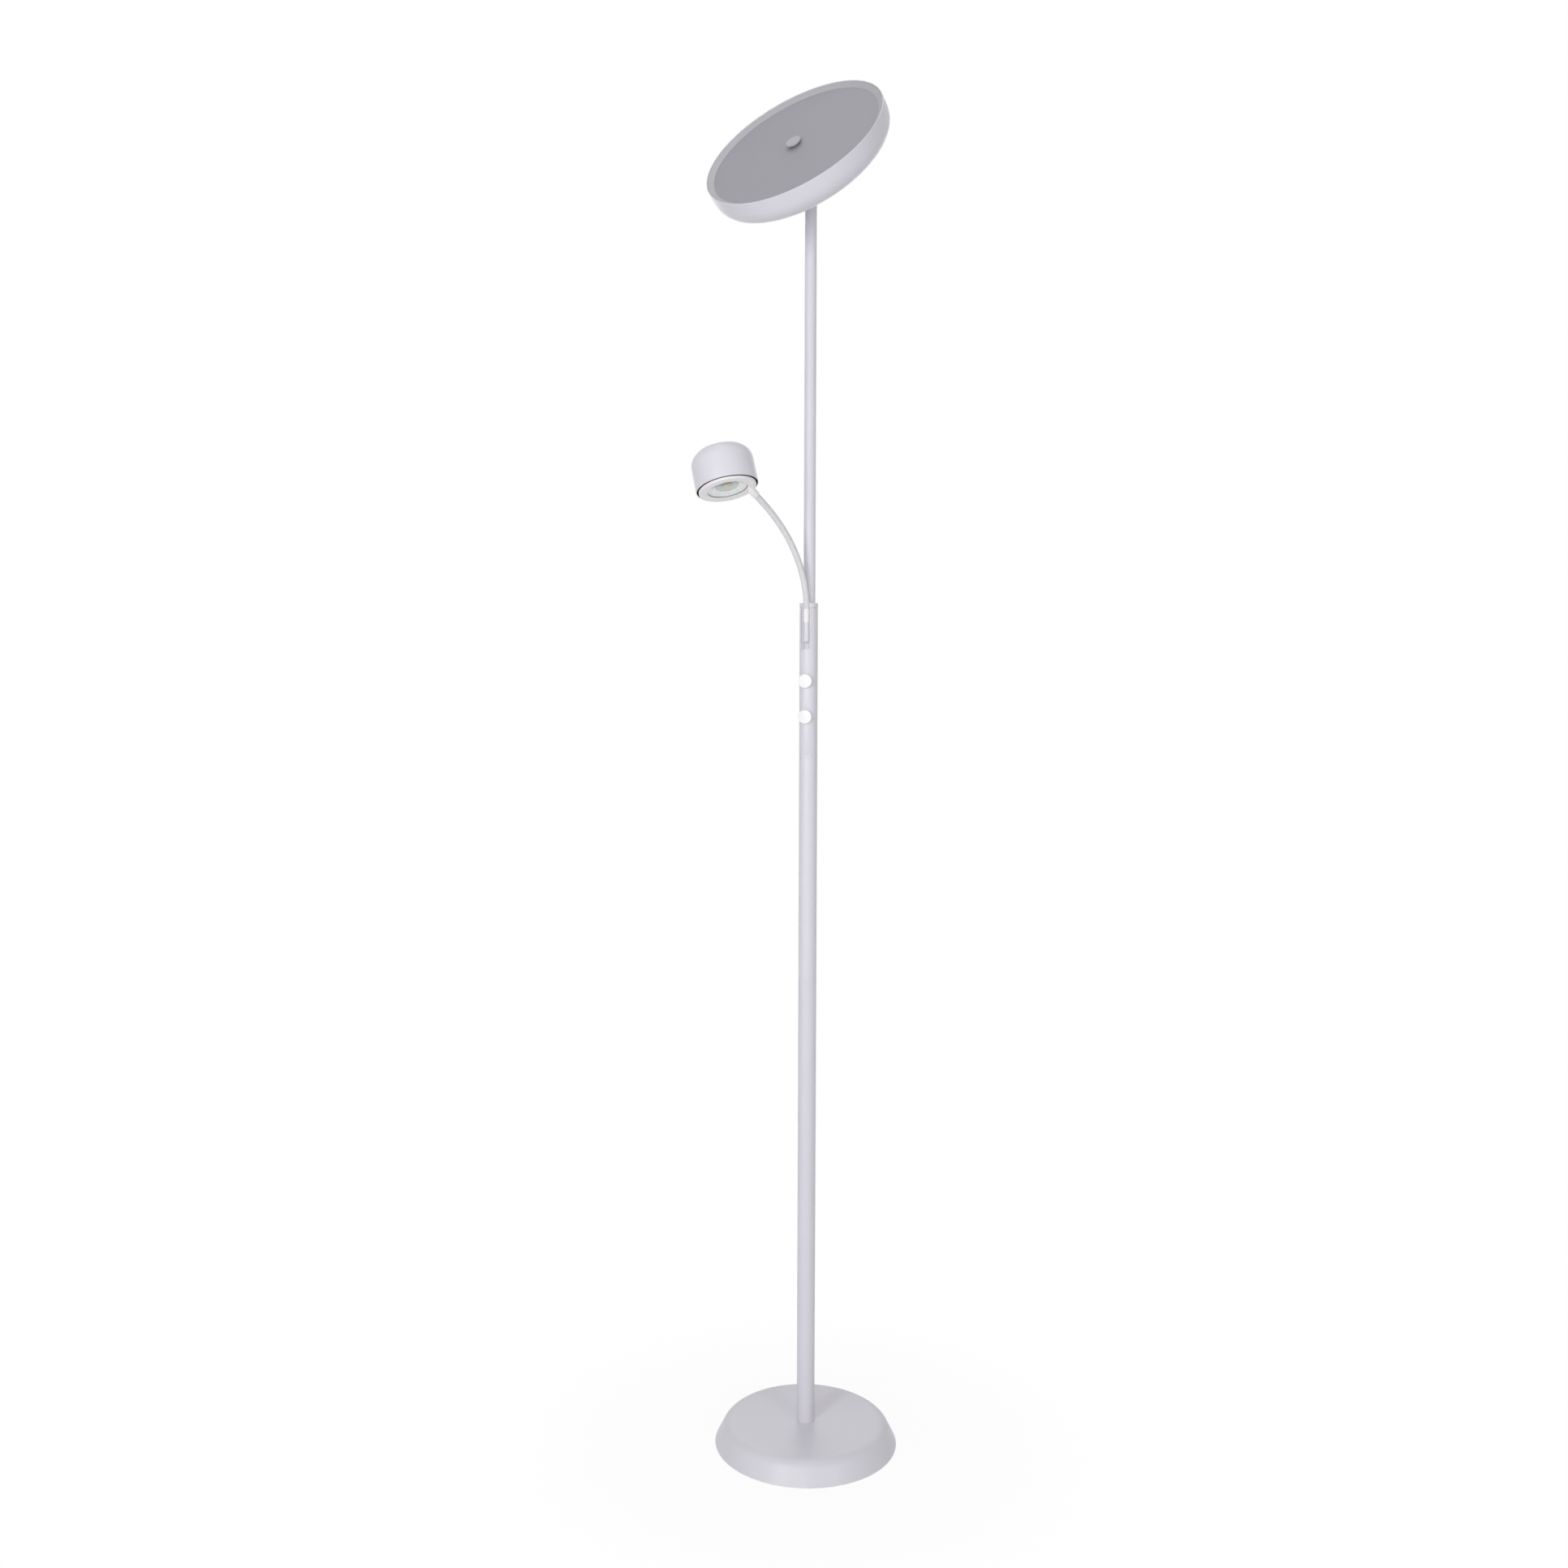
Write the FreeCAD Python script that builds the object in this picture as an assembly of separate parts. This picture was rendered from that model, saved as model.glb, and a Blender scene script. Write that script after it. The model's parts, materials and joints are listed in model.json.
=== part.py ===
# Torchiere floor lamp with a reading light on a bendable arm.
# Lengths are in millimetres, angles in degrees, +Z is up and the front is -Y.
# The origin is on the pole's axis, where the base stands on the floor.
import FreeCAD, Part
import math
import os

os.makedirs("parts", exist_ok=True)
Vec = FreeCAD.Vector
UP = Vec(0, 0, 1)
FRONT = Vec(0, -1, 0)
ORIGIN = Vec(0, 0, 0)

# Fits
play = 0.1               # gap between pieces that are pushed together and stay so
running = 0.05           # radial gap of a shaft that turns in its hole
face_gap = 0.1           # gap between flat faces that slide on each other
ball_gap = 0.3           # gap round the ball ends of the arm's lengths
press = 0.02             # radial gap of a knob pressed on its shaft
past = 1.0               # how far a cutting shape reaches past the face that it opens

# Base
base_radius = 128.3      # foot of the steel cover
base_height = 31.0       # flat top, on which the pole stands
base_slope = 15.3        # how far the side leans in, foot to top
base_shoulder = 18.0     # rounding between side and top
base_lip = 0.8           # foot of the cover above the floor
base_wall = 1.2
pad_thick = 1.5          # anti-slip pad
pad_margin = 2.3         # the pad's edge, inside the foot of the cover
weight_play = 0.4        # round the side of the concrete weight
weight_boss = 30.0       # radius of the raised middle that meets the cover
recess_radius = 20.0     # room for the clamp nut under the weight
recess_height = 16.0
cord_way = 18.0          # width of the channel from the recess to the gland
cord_way_height = 19.0

# Cable gland, at the back
gland_radius = 6.0
gland_bore = 3.3
gland_height = 9.5       # axis above the floor
gland_set_back = 0.8     # its outer end, inside the foot of the cover
gland_length = 17.5
gland_collar = 8.0       # collar inside the cover
gland_collar_thick = 2.5

# Clamp at the middle of the base
tube_thread = 5.0        # outer radius of the threaded tube
tube_bore = 3.6
tube_tail = 2.5          # below the nut
tube_head = 2.0          # above the plug
nut_flats = 14.0
nut_thick = 4.0
washer_radius = 17.0
washer_thick = 2.0
plug_height = 22.0       # plug at the foot of the pole

# Poles
pole_radius = 12.5       # lower pole and control tube
pole_wall = 1.2
lower_length = 941.8     # lower pole
seam_ring = 3.5          # visible ring of the joining sleeve above it
sleeve_reach = 28.0      # how far the sleeve goes into each tube
sleeve_wall = 1.4
control_length = 199.1   # control tube, from the ring up
cap_height = 7.1         # visible cap of the adapter above it
slim_radius = 8.0        # upper pole
slim_wall = 1.2
slim_seat = 34.5         # how deep it stands in the adapter
slim_length = 574.0

# Adapter in the top of the control tube
adapter_length = 70.5    # from the top of its cap
adapter_bore = 4.0       # wire way under the upper pole
slot_half_width = 7.2
slot_length = 62.2       # from the top of the cap down
adapter_web = 0.6        # its wall behind the upper pole
slot_web = 0.3           # from the upper pole to the floor of the slot

# Ferrule of the arm, in the slot
ferrule_radius = 4.05
ferrule_gap = 0.25       # from the floor of the slot
ferrule_lift = 10.0      # its foot above the slot's
ferrule_length = 55.7    # up to the arm's first ball
ferrule_lower = 26.3     # from its foot to the groove between its two lengths
ferrule_groove = 0.3     # depth of the groove, and half its width
ferrule_screw_rise = 8.7 # above its foot
ferrule_screw_radius = 1.5
ferrule_screw_reach = 8.0
ferrule_screw_gap = 0.4  # its tip short of the ferrule's bore

# Dimmers and their caps
upper_dimmer_rise = 100.6  # above the foot of the control tube
lower_dimmer_rise = 52.1
dimmer_radius = 8.0
dimmer_depth = 9.0
dimmer_gap = 0.25        # from the edge of its face to the tube
bush_radius = 4.0
shaft_radius = 3.0
shaft_tail = 2.0         # inside the dimmer's body
shaft_grip = 2.2         # how far the shaft goes into the knob
knob_radius = 9.5
knob_gap = 0.5           # from the tube
knob_thick = 3.5
knob_edge = 0.7
dimple_radius = 0.8
dimple_place = 6.0       # below the cap's centre
dimple_depth = 0.4

# Swivel and tilt joint on the upper pole
socket_reach = 22.0      # how far the socket goes into the pole
socket_flange = 3.0
stud_radius = 4.0
stud_neck = 3.0          # its end, which carries the clip
stud_end = 1.0           # below the clip
clip_radius = 5.8
clip_thick = 1.4
fork_base = 4.0
fork_radius = 10.2
fork_ear = 3.4
fork_ear_radius = 7.5
tongue_half = 3.0
tongue_radius = 7.0
friction_thick = 0.8
friction_radius = 6.5
screw_radius = 2.5
screw_head_radius = 4.6
screw_head = 2.4
screw_nut_flats = 8.0
screw_nut = 3.5
screw_end = 1.0          # past the nut
pivot_rise = 24.5        # above the top of the upper pole
head_turn = 15.3         # from the front towards -X, as photographed
head_tilt = 50.0         # from level, as photographed

# Uplighter
pivot_to_back = 14.3
head_radius = 128.0
head_depth = 42.9
head_round = 26.8        # rounding between the back and the side
head_wall = 1.2
plate_radius = 16.0      # flange of the tilt bracket
plate_thick = 3.0
plate_screw_count = 3
plate_screw_circle = 11.0
plate_screw_radius = 1.6
plate_screw_head = 2.0
plate_screw_tail = 3.0   # inside the shell
ring_overlap = 2.6       # of the sloping ring over the diffuser
ring_drop = 8.0          # diffuser below the rim
ring_rim = 0.8           # top of the ring below the rim
ring_skirt = 13.0
diffuser_thick = 2.0
diffuser_inset = 5.0     # from the inside of the shell
driver_length = 44.0
driver_width = 84.0
driver_height = 9.5
driver_corner = 2.0
driver_gap = 1.8         # between it and the heads of the bracket screws
post_count = 4
post_inset = 26.0        # from the edge of the heat spreader
post_radius = 4.0
spreader_inset = 14.8    # from the inside of the shell
spreader_thick = 1.6
spreader_height = 11.0   # above the inside of the back
led_board_thick = 1.2
led_board_inset = 4.0    # from the edge of the heat spreader
led_board_hole = 34.0
led_counts = (28, 20, 12)  # in circles, from the outside in
led_inset = 10.0         # outer circle, from the edge of the board
led_pitch = 24.0
led_width = 3.0
led_height = 0.8
centre_stud_radius = 3.0
cap_radius = 10.5
cap_thick = 3.5
cap_edge = 1.0

# Arm, from the ferrule's ball to the bezel of the reading light
arm_radius = 4.2
arm_bore = 1.8
arm_length = 184.0
arm_lengths = 6          # lengths between balls
arm_turn = 24.0          # from the front towards -X, as photographed
lean_first = 6.0         # from vertical, at the ferrule
lean_last = 58.2         # and at the bezel
lean_power = 1.6         # more than 1 bends the arm most near its foot

# Reading light
reading_lean = 18.6      # of its axis, as photographed
reading_turn = 122.3     # of that lean, from the front towards -X
reading_radius = 41.0
reading_height = 52.5
reading_round = 20.0
reading_wall = 1.0
bezel_gap = 2.2          # dark gap between it and the shell
bezel_drop = 3.2         # its face below the shell's rim
bezel_wall = 1.5
bezel_skirt = 12.0       # above the rim
bezel_edge = 1.0
bezel_face = 11.5        # width of its face
boss_inset = 5.9         # from its edge
boss_angle = 165.0
boss_radius = 5.2
boss_reach = 12.0
boss_floor = 6.0         # end of the arm, short of the bezel's face
housing_top = 30.0
housing_wall = 2.0
hanger_radius = 4.0
reflector_top = 20.0
reflector_throat = 9.0
reflector_wall = 1.0
reflector_ribs = 60
reflector_rib = 0.5      # height of a rib at the mouth
reflector_steps = 4
cover_thick = 1.0
chip_radius = 6.5
chip_thick = 0.8
chip_board_radius = 14.0
chip_board_thick = 1.6


# Places that follow from the sizes above
base_chain = [(base_radius, base_lip), (base_radius - base_slope, base_height, base_shoulder),
              (0, base_height)]
cover_inside = base_height - base_wall
gland_nose = base_radius - gland_set_back
gland_tail = gland_nose - gland_length
tube_inside = pole_radius - pole_wall
seam_height = base_height + lower_length
control_foot = seam_height + seam_ring
control_top = control_foot + control_length
cap_top = control_top + cap_height
slim_foot = cap_top - slim_seat
slim_top = slim_foot + slim_length
adapter_foot = cap_top - adapter_length
slot_foot = cap_top - slot_length
ferrule_foot = slot_foot + ferrule_lift
ferrule_seam = ferrule_foot + ferrule_lower
ferrule_screw_height = ferrule_foot + ferrule_screw_rise
arm_start = ferrule_foot + ferrule_length
pivot_height = slim_top + pivot_rise
slim_back = tube_inside - play - adapter_web - slim_radius
slot_floor = slim_radius - slim_back + slot_web
ferrule_front = slot_floor + ferrule_gap + ferrule_radius
dimmer_heights = {"upper": control_foot + upper_dimmer_rise, "lower": control_foot + lower_dimmer_rise}
dimmer_face = math.sqrt((tube_inside - dimmer_gap) ** 2 - dimmer_radius ** 2)
knob_back = pole_radius + knob_gap
knob_front = knob_back + knob_thick
shaft_nose = knob_back + shaft_grip


def corner(point):
    # A corner of an outline: its place in the XZ plane and its rounding radius.
    x, z = point[0], point[1]
    radius = point[2] if len(point) > 2 else 0.0
    return Vec(x, 0, z), radius


def outline(points):
    # A flat face in the XZ plane. Each point is (x, z) or (x, z, rounding radius).
    corners = [corner(point) for point in points]
    count = len(corners)
    stops = []
    for i in range(count):
        here, radius = corners[i]
        if radius <= 0:
            stops.append((here, None, here))
            continue
        back = (corners[i - 1][0] - here).normalize()
        ahead = (corners[(i + 1) % count][0] - here).normalize()
        half = back.getAngle(ahead) / 2
        reach = radius / math.tan(half)
        centre = here + (back + ahead).normalize() * (radius / math.sin(half))
        middle = centre + (here - centre).normalize() * radius
        stops.append((here + back * reach, middle, here + ahead * reach))
    edges = []
    for i in range(count):
        enter, middle, leave = stops[i]
        start = stops[i - 1][2]
        if start.distanceToPoint(enter) > 1e-6:
            edges.append(Part.LineSegment(start, enter).toShape())
        if middle is not None:
            edges.append(Part.Arc(enter, middle, leave).toShape())
    return Part.Face(Part.Wire(Part.__sortEdges__(edges)))


def turned(points):
    # A solid turned about the Z axis from half of its section.
    return outline(points).revolve(ORIGIN, UP, 360)


def inset(chain, wall):
    # The chain of corners moved to its left by the wall. Its ends slide to the axis or keep their height.
    runs = []
    for first, second in zip(chain, chain[1:]):
        start, end = corner(first)[0], corner(second)[0]
        along = (end - start).normalize()
        left = Vec(-along.z, 0, along.x)
        runs.append((start + left * wall, along))

    def slide(end, run):
        start, along = run
        if end.x == 0:
            return 0.0, start.z - start.x * along.z / along.x
        return start.x + (end.z - start.z) * along.x / along.z, end.z

    inner = [slide(corner(chain[0])[0], runs[0])]
    for i in range(1, len(chain) - 1):
        (a, u), (b, v) = runs[i - 1], runs[i]
        step = ((b.x - a.x) * v.z - (b.z - a.z) * v.x) / (u.x * v.z - u.z * v.x)
        place = a + u * step
        radius = corner(chain[i])[1]
        inner.append((place.x, place.z, max(radius - wall, 0.0)))
    inner.append(slide(corner(chain[-1])[0], runs[-1]))
    return inner


def rod(radius, low, high, x=0.0, y=0.0):
    return Part.makeCylinder(radius, high - low, Vec(x, y, low), UP)


def pipe(outer, inner, low, high, x=0.0, y=0.0):
    return rod(outer, low, high, x, y).cut(rod(inner, low - past, high + past, x, y))


def block(x0, x1, y0, y1, z0, z1):
    return Part.makeBox(x1 - x0, y1 - y0, z1 - z0, Vec(x0, y0, z0))


def hexagon(flats, low, high):
    across = flats / math.sqrt(3)
    points = [Vec(across * math.cos(math.radians(60 * i)), across * math.sin(math.radians(60 * i)), low)
              for i in range(7)]
    return Part.Face(Part.makePolygon(points)).extrude(Vec(0, 0, high - low))


def forward(radius, near, far, height):
    # A rod along the front direction, from one distance in front of the pole's axis to another.
    return Part.makeCylinder(radius, far - near, Vec(0, -near, height), FRONT)


def rounded_rims(shape, radius, rims):
    # Rounds the circular edges that lie at the given heights and radii.
    picked = []
    for edge in shape.Edges:
        if not hasattr(edge.Curve, "Radius"):
            continue
        for height, size in rims:
            if abs(edge.Curve.Center.z - height) < 1e-6 and abs(edge.Curve.Radius - size) < 1e-6:
                picked.append(edge)
    return shape.makeFillet(radius, picked)


def save(shapes):
    for name, shape in shapes.items():
        shape.exportStep("parts/" + name + ".step")
        print(name, round(shape.Volume, 1), len(shape.Solids))


# ---- base ----

weight_foot = base_radius - base_slope * (pad_thick - base_lip) / (base_height - base_lip)
weight_chain = [(weight_foot, pad_thick)] + base_chain[1:]


def make_base_cover():
    solid = turned(base_chain + [(0, base_lip)])
    hollow = turned(inset(base_chain, base_wall) + [(0, base_lip)])
    cover = solid.cut(hollow)
    cover = cover.cut(rod(tube_thread + play, cover_inside - past, base_height + past))
    hole = Part.makeCylinder(gland_radius + play, base_radius, Vec(0, 0, gland_height), Vec(0, 1, 0))
    return cover.cut(hole)


def make_base_weight():
    weight = turned(inset(weight_chain, base_wall + weight_play) + [(0, pad_thick)])
    weight = weight.fuse(rod(weight_boss, recess_height, cover_inside))
    weight = weight.cut(rod(recess_radius, 0, recess_height))
    weight = weight.cut(rod(tube_thread + play, 0, base_height))
    channel = block(-cord_way / 2, cord_way / 2, 0, base_radius, 0, cord_way_height)
    return weight.cut(channel).removeSplitter()


def make_base_pad():
    return rod(base_radius - pad_margin, 0, pad_thick)


def make_cable_gland():
    back = Vec(0, 1, 0)
    body = Part.makeCylinder(gland_radius, gland_nose - gland_tail, Vec(0, gland_tail, gland_height), back)
    collar = Part.makeCylinder(gland_collar, gland_collar_thick, Vec(0, gland_tail, gland_height), back)
    bore = Part.makeCylinder(gland_bore, gland_nose, Vec(0, 0, gland_height), back)
    return body.fuse(collar).cut(bore).removeSplitter()


def make_clamp():
    washer_low = recess_height - washer_thick
    nut_low = washer_low - nut_thick
    plug_top = base_height + plug_height
    plug_radius = pole_radius - pole_wall - play
    return {
        "threaded_tube": pipe(tube_thread, tube_bore, nut_low - tube_tail, plug_top + tube_head),
        "clamp_washer": pipe(washer_radius, tube_thread + play, washer_low, recess_height),
        "clamp_nut": hexagon(nut_flats, nut_low, washer_low).cut(rod(tube_thread + play, 0, recess_height)),
        "pole_plug": pipe(plug_radius, tube_thread + play, base_height, plug_top),
    }


# ---- poles ----

def make_lower_pole():
    return pipe(pole_radius, tube_inside, base_height, seam_height)


def make_joining_sleeve():
    sleeve = pipe(tube_inside - play, tube_inside - play - sleeve_wall,
                  seam_height - sleeve_reach, control_foot + sleeve_reach)
    ring = pipe(pole_radius, tube_inside - play - sleeve_wall, seam_height, control_foot)
    return sleeve.fuse(ring).removeSplitter()


def make_control_tube():
    tube = pipe(pole_radius, tube_inside, control_foot, control_top)
    tube = tube.cut(block(-slot_half_width, slot_half_width, -2 * pole_radius, 0, slot_foot, cap_top))
    for height in dimmer_heights.values():
        tube = tube.cut(forward(bush_radius + play, 0, 2 * pole_radius, height))
    return tube


def make_top_adapter():
    spigot = rod(tube_inside - play, adapter_foot, control_top)
    cap = rod(pole_radius, control_top, cap_top)
    adapter = spigot.fuse(cap)
    adapter = adapter.cut(rod(slim_radius + play, slim_foot, cap_top + past, 0, slim_back))
    adapter = adapter.cut(rod(adapter_bore, adapter_foot - past, slim_foot + past, 0, slim_back))
    slot = block(-slot_half_width, slot_half_width, -2 * pole_radius, -slot_floor, slot_foot, cap_top + past)
    adapter = adapter.cut(slot)
    seat = forward(ferrule_screw_radius + play, 0, pole_radius, ferrule_screw_height)
    return adapter.cut(seat).removeSplitter()


def make_upper_pole():
    return pipe(slim_radius, slim_radius - slim_wall, slim_foot, slim_top, 0, slim_back)


def make_pole_socket():
    socket = rod(slim_radius - slim_wall - play, slim_top - socket_reach, slim_top, 0, slim_back)
    socket = socket.fuse(rod(slim_radius, slim_top, slim_top + socket_flange, 0, slim_back))
    bore_low = slim_top - socket_reach - past
    bore = rod(stud_radius + running, bore_low, slim_top + socket_flange + past, 0, slim_back)
    return socket.cut(bore).removeSplitter()


def make_arm_ferrule():
    ferrule = rod(ferrule_radius, ferrule_foot, arm_start, 0, -ferrule_front)
    centre = Vec(0, -ferrule_front, arm_start)
    ferrule = ferrule.fuse(Part.makeSphere(ferrule_radius, centre, UP, 0, 90, 360))
    bore_high = arm_start + 2 * ferrule_radius
    ferrule = ferrule.cut(rod(arm_bore, ferrule_foot - past, bore_high, 0, -ferrule_front))
    groove = pipe(ferrule_radius + past, ferrule_radius - ferrule_groove, ferrule_seam - ferrule_groove,
                  ferrule_seam + ferrule_groove, 0, -ferrule_front)
    screw_hole = forward(ferrule_screw_radius + play, 0, ferrule_front, ferrule_screw_height)
    return ferrule.cut(groove).cut(screw_hole)


def make_ferrule_screw():
    tip = ferrule_front - arm_bore - ferrule_screw_gap
    return forward(ferrule_screw_radius, tip - ferrule_screw_reach, tip, ferrule_screw_height)


# ---- dimmers ----

def make_dimmer(height):
    body = forward(dimmer_radius, dimmer_face - dimmer_depth, dimmer_face, height)
    body = body.fuse(forward(bush_radius, dimmer_face, pole_radius, height))
    return body.cut(forward(shaft_radius + running, shaft_tail - running, 2 * pole_radius, height))


def make_shaft(height):
    return forward(shaft_radius, shaft_tail, shaft_nose, height)


def make_knob(height):
    cap = Part.makeCylinder(knob_radius, knob_front - knob_back, ORIGIN, UP)
    cap = rounded_rims(cap, knob_edge, [(knob_front - knob_back, knob_radius)])
    cap = cap.cut(rod(shaft_radius + press, -past, shaft_nose - knob_back + press))
    face = knob_front - knob_back
    cap = cap.cut(rod(dimple_radius, face - dimple_depth, face + past, 0, -dimple_place))
    cap.Placement = FreeCAD.Placement(Vec(0, -knob_back, height), FreeCAD.Rotation(Vec(1, 0, 0), 90))
    return cap


# ---- swivel and tilt joint: modelled with its hinge along X, then turned to the photographed place ----

pivot = Vec(0, slim_back, pivot_height)
socket_top = slim_top + socket_flange
ear_inside = tongue_half + friction_thick + face_gap
ear_outside = ear_inside + fork_ear
hinge_turn = FreeCAD.Rotation(UP, -head_turn)
head_rotation = hinge_turn.multiply(FreeCAD.Rotation(Vec(1, 0, 0), head_tilt))
swivel_place = FreeCAD.Placement(Vec(0, slim_back, 0), hinge_turn)
head_place = FreeCAD.Placement(pivot, head_rotation)


def placed(shape, placement):
    moved = shape.copy()
    moved.Placement = placement.multiply(moved.Placement)
    return moved


def across(radius, start, end, height):
    # A rod along the hinge.
    return Part.makeCylinder(radius, end - start, Vec(start, 0, height), Vec(1, 0, 0))


def make_swivel():
    base_low = socket_top + face_gap
    base_high = base_low + fork_base
    fork = rod(fork_radius, base_low, base_high)
    for side in (-1, 1):
        start = ear_inside if side > 0 else -ear_outside
        ear = block(start, start + fork_ear, -fork_ear_radius, fork_ear_radius, base_high, pivot_height)
        ear = ear.fuse(across(fork_ear_radius, start, start + fork_ear, pivot_height))
        fork = fork.fuse(ear)
    fork = fork.common(rod(fork_radius, base_low, pivot_height + 2 * fork_ear_radius))
    fork = fork.fuse(rod(stud_radius, slim_top - socket_reach, base_low))
    fork = fork.cut(across(screw_radius + play, -ear_outside - past, ear_outside + past, pivot_height))
    fork = fork.removeSplitter()
    clip_high = slim_top - socket_reach - face_gap
    stud_tail = rod(stud_neck, clip_high - clip_thick - stud_end, slim_top - socket_reach)
    fork = fork.fuse(stud_tail)
    clip = pipe(clip_radius, stud_neck + play, clip_high - clip_thick, clip_high)
    screw = across(screw_radius, -ear_outside, ear_outside + screw_nut + screw_end, pivot_height)
    screw = screw.fuse(across(screw_head_radius, -ear_outside - screw_head, -ear_outside, pivot_height))
    nut = hexagon(screw_nut_flats, 0, screw_nut).cut(rod(screw_radius + play, -past, screw_nut + past))
    nut.Placement = FreeCAD.Placement(Vec(ear_outside, 0, pivot_height), FreeCAD.Rotation(Vec(0, 1, 0), 90))
    discs = []
    for start in (-ear_inside, ear_inside - friction_thick):
        disc = across(friction_radius, start, start + friction_thick, pivot_height)
        hole = across(screw_radius + play, start - past, start + friction_thick + past, pivot_height)
        discs.append(disc.cut(hole))
    pieces = {
        "swivel_fork": fork,
        "swivel_clip": clip,
        "tilt_screw": screw,
        "tilt_nut": nut,
        "friction_discs": Part.makeCompound(discs),
    }
    return {name: placed(shape, swivel_place) for name, shape in pieces.items()}


# ---- uplighter: modelled with the pivot at the origin and its light going up, then tilted ----

back = pivot_to_back
floor = back + head_wall
rim = back + head_depth
head_chain = [(0, back), (head_radius, back, head_round), (head_radius, rim)]
head_inside = head_radius - head_wall
diffuser_high = rim - ring_drop
diffuser_low = diffuser_high - diffuser_thick
spreader_low = floor + spreader_height
spreader_high = spreader_low + spreader_thick
board_high = spreader_high + led_board_thick
spreader_radius = head_inside - spreader_inset
led_board_radius = spreader_radius - led_board_inset
diffuser_radius = head_inside - diffuser_inset
ring_radius = diffuser_radius - ring_overlap


def circle_places(radius, count, start=0.0):
    step = 360.0 / count
    angles = [start + step * i for i in range(count)]
    return [(radius * math.cos(math.radians(a)), radius * math.sin(math.radians(a)), a) for a in angles]


def make_tilt_bracket():
    plate = rod(plate_radius, back - plate_thick, back)
    tongue = block(-tongue_half, tongue_half, -tongue_radius, tongue_radius, 0, back - plate_thick)
    tongue = tongue.fuse(across(tongue_radius, -tongue_half, tongue_half, 0))
    bracket = plate.fuse(tongue)
    bracket = bracket.cut(across(screw_radius + running, -2 * tongue_half, 2 * tongue_half, 0))
    for x, y, _ in circle_places(plate_screw_circle, plate_screw_count, 90):
        bracket = bracket.cut(rod(plate_screw_radius + play, 0, back + past, x, y))
    return bracket.removeSplitter()


def make_bracket_screws():
    screws = []
    for x, y, _ in circle_places(plate_screw_circle, plate_screw_count, 90):
        shank = rod(plate_screw_radius, back - plate_thick, floor + plate_screw_tail, x, y)
        head = rod(2 * plate_screw_radius, floor, floor + plate_screw_head, x, y)
        screws.append(shank.fuse(head))
    return Part.makeCompound(screws)


def make_head_shell():
    solid = turned(head_chain + [(0, rim)])
    shell = solid.cut(turned(inset(head_chain, head_wall) + [(0, rim)]))
    for x, y, _ in circle_places(plate_screw_circle, plate_screw_count, 90):
        shell = shell.cut(rod(plate_screw_radius + play, back - past, floor + past, x, y))
    return shell


def make_head_inside():
    start = plate_screw_circle + 2 * plate_screw_radius + driver_gap
    driver = block(start, start + driver_length, -driver_width / 2, driver_width / 2,
                   floor, floor + driver_height)
    upright = [edge for edge in driver.Edges if abs(edge.tangentAt(edge.FirstParameter).z) > 0.9]
    driver = driver.makeFillet(driver_corner, upright)
    posts = [rod(post_radius, floor, spreader_low, x, y)
             for x, y, _ in circle_places(spreader_radius - post_inset, post_count, 45)]
    spreader = rod(spreader_radius, spreader_low, spreader_high)
    board = pipe(led_board_radius, led_board_hole, spreader_high, board_high)
    chips = []
    half = led_width / 2
    for i, count in enumerate(led_counts):
        for x, y, angle in circle_places(led_board_radius - led_inset - i * led_pitch, count):
            chip = block(-half, half, -half, half, 0, led_height)
            chip.Placement = FreeCAD.Placement(Vec(x, y, board_high), FreeCAD.Rotation(UP, angle))
            chips.append(chip)
    return {
        "driver_box": driver,
        "spreader_posts": Part.makeCompound(posts),
        "heat_spreader": spreader,
        "led_board": board,
        "led_chips": Part.makeCompound(chips),
    }


def make_diffuser_set():
    outer = head_inside - play
    lip = diffuser_radius + play
    ring = turned([(outer, rim - ring_rim), (outer, rim - ring_skirt), (lip, rim - ring_skirt),
                   (lip, diffuser_high), (ring_radius, diffuser_high), (outer - play, rim - ring_rim)])
    cap_high = diffuser_high + cap_thick
    stud_high = diffuser_high + cap_thick / 2
    cap = rounded_rims(rod(cap_radius, diffuser_high, cap_high), cap_edge, [(cap_high, cap_radius)])
    cap = cap.cut(rod(centre_stud_radius + play, diffuser_high - past, stud_high))
    stud = rod(centre_stud_radius, spreader_high, stud_high)
    stud = stud.fuse(rod(2 * centre_stud_radius, spreader_high, diffuser_low))
    return {
        "diffuser_ring": ring,
        "diffuser": pipe(diffuser_radius, centre_stud_radius + play, diffuser_low, diffuser_high),
        "centre_stud": stud,
        "centre_cap": cap,
    }


def make_uplighter():
    pieces = {
        "tilt_bracket": make_tilt_bracket(),
        "bracket_screws": make_bracket_screws(),
        "head_shell": make_head_shell(),
    }
    pieces.update(make_head_inside())
    pieces.update(make_diffuser_set())
    return {name: placed(shape, head_place) for name, shape in pieces.items()}


# ---- arm: arcs in one upright plane, each with a ball at its far end and a socket at its near end ----

arm_out = FreeCAD.Rotation(UP, -arm_turn).multVec(FRONT)
bend_axis = FreeCAD.Rotation(UP, -arm_turn).multVec(Vec(1, 0, 0))


def lean_at(share):
    return lean_first + (lean_last - lean_first) * (1 - (1 - share) ** lean_power)


def heading(lean):
    return arm_out * math.sin(math.radians(lean)) + UP * math.cos(math.radians(lean))


def inward(lean):
    # Square to the arm, towards the centre of its bend.
    return arm_out * math.cos(math.radians(lean)) - UP * math.sin(math.radians(lean))


arm_step = arm_length / arm_lengths
leans = [lean_at(i / arm_lengths) for i in range(arm_lengths + 1)]
balls = [Vec(0, -ferrule_front, arm_start)]
for first, second in zip(leans, leans[1:]):
    bend = arm_step / math.radians(second - first)
    balls.append(balls[-1] + inward(first) * bend - inward(second) * bend)


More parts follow.
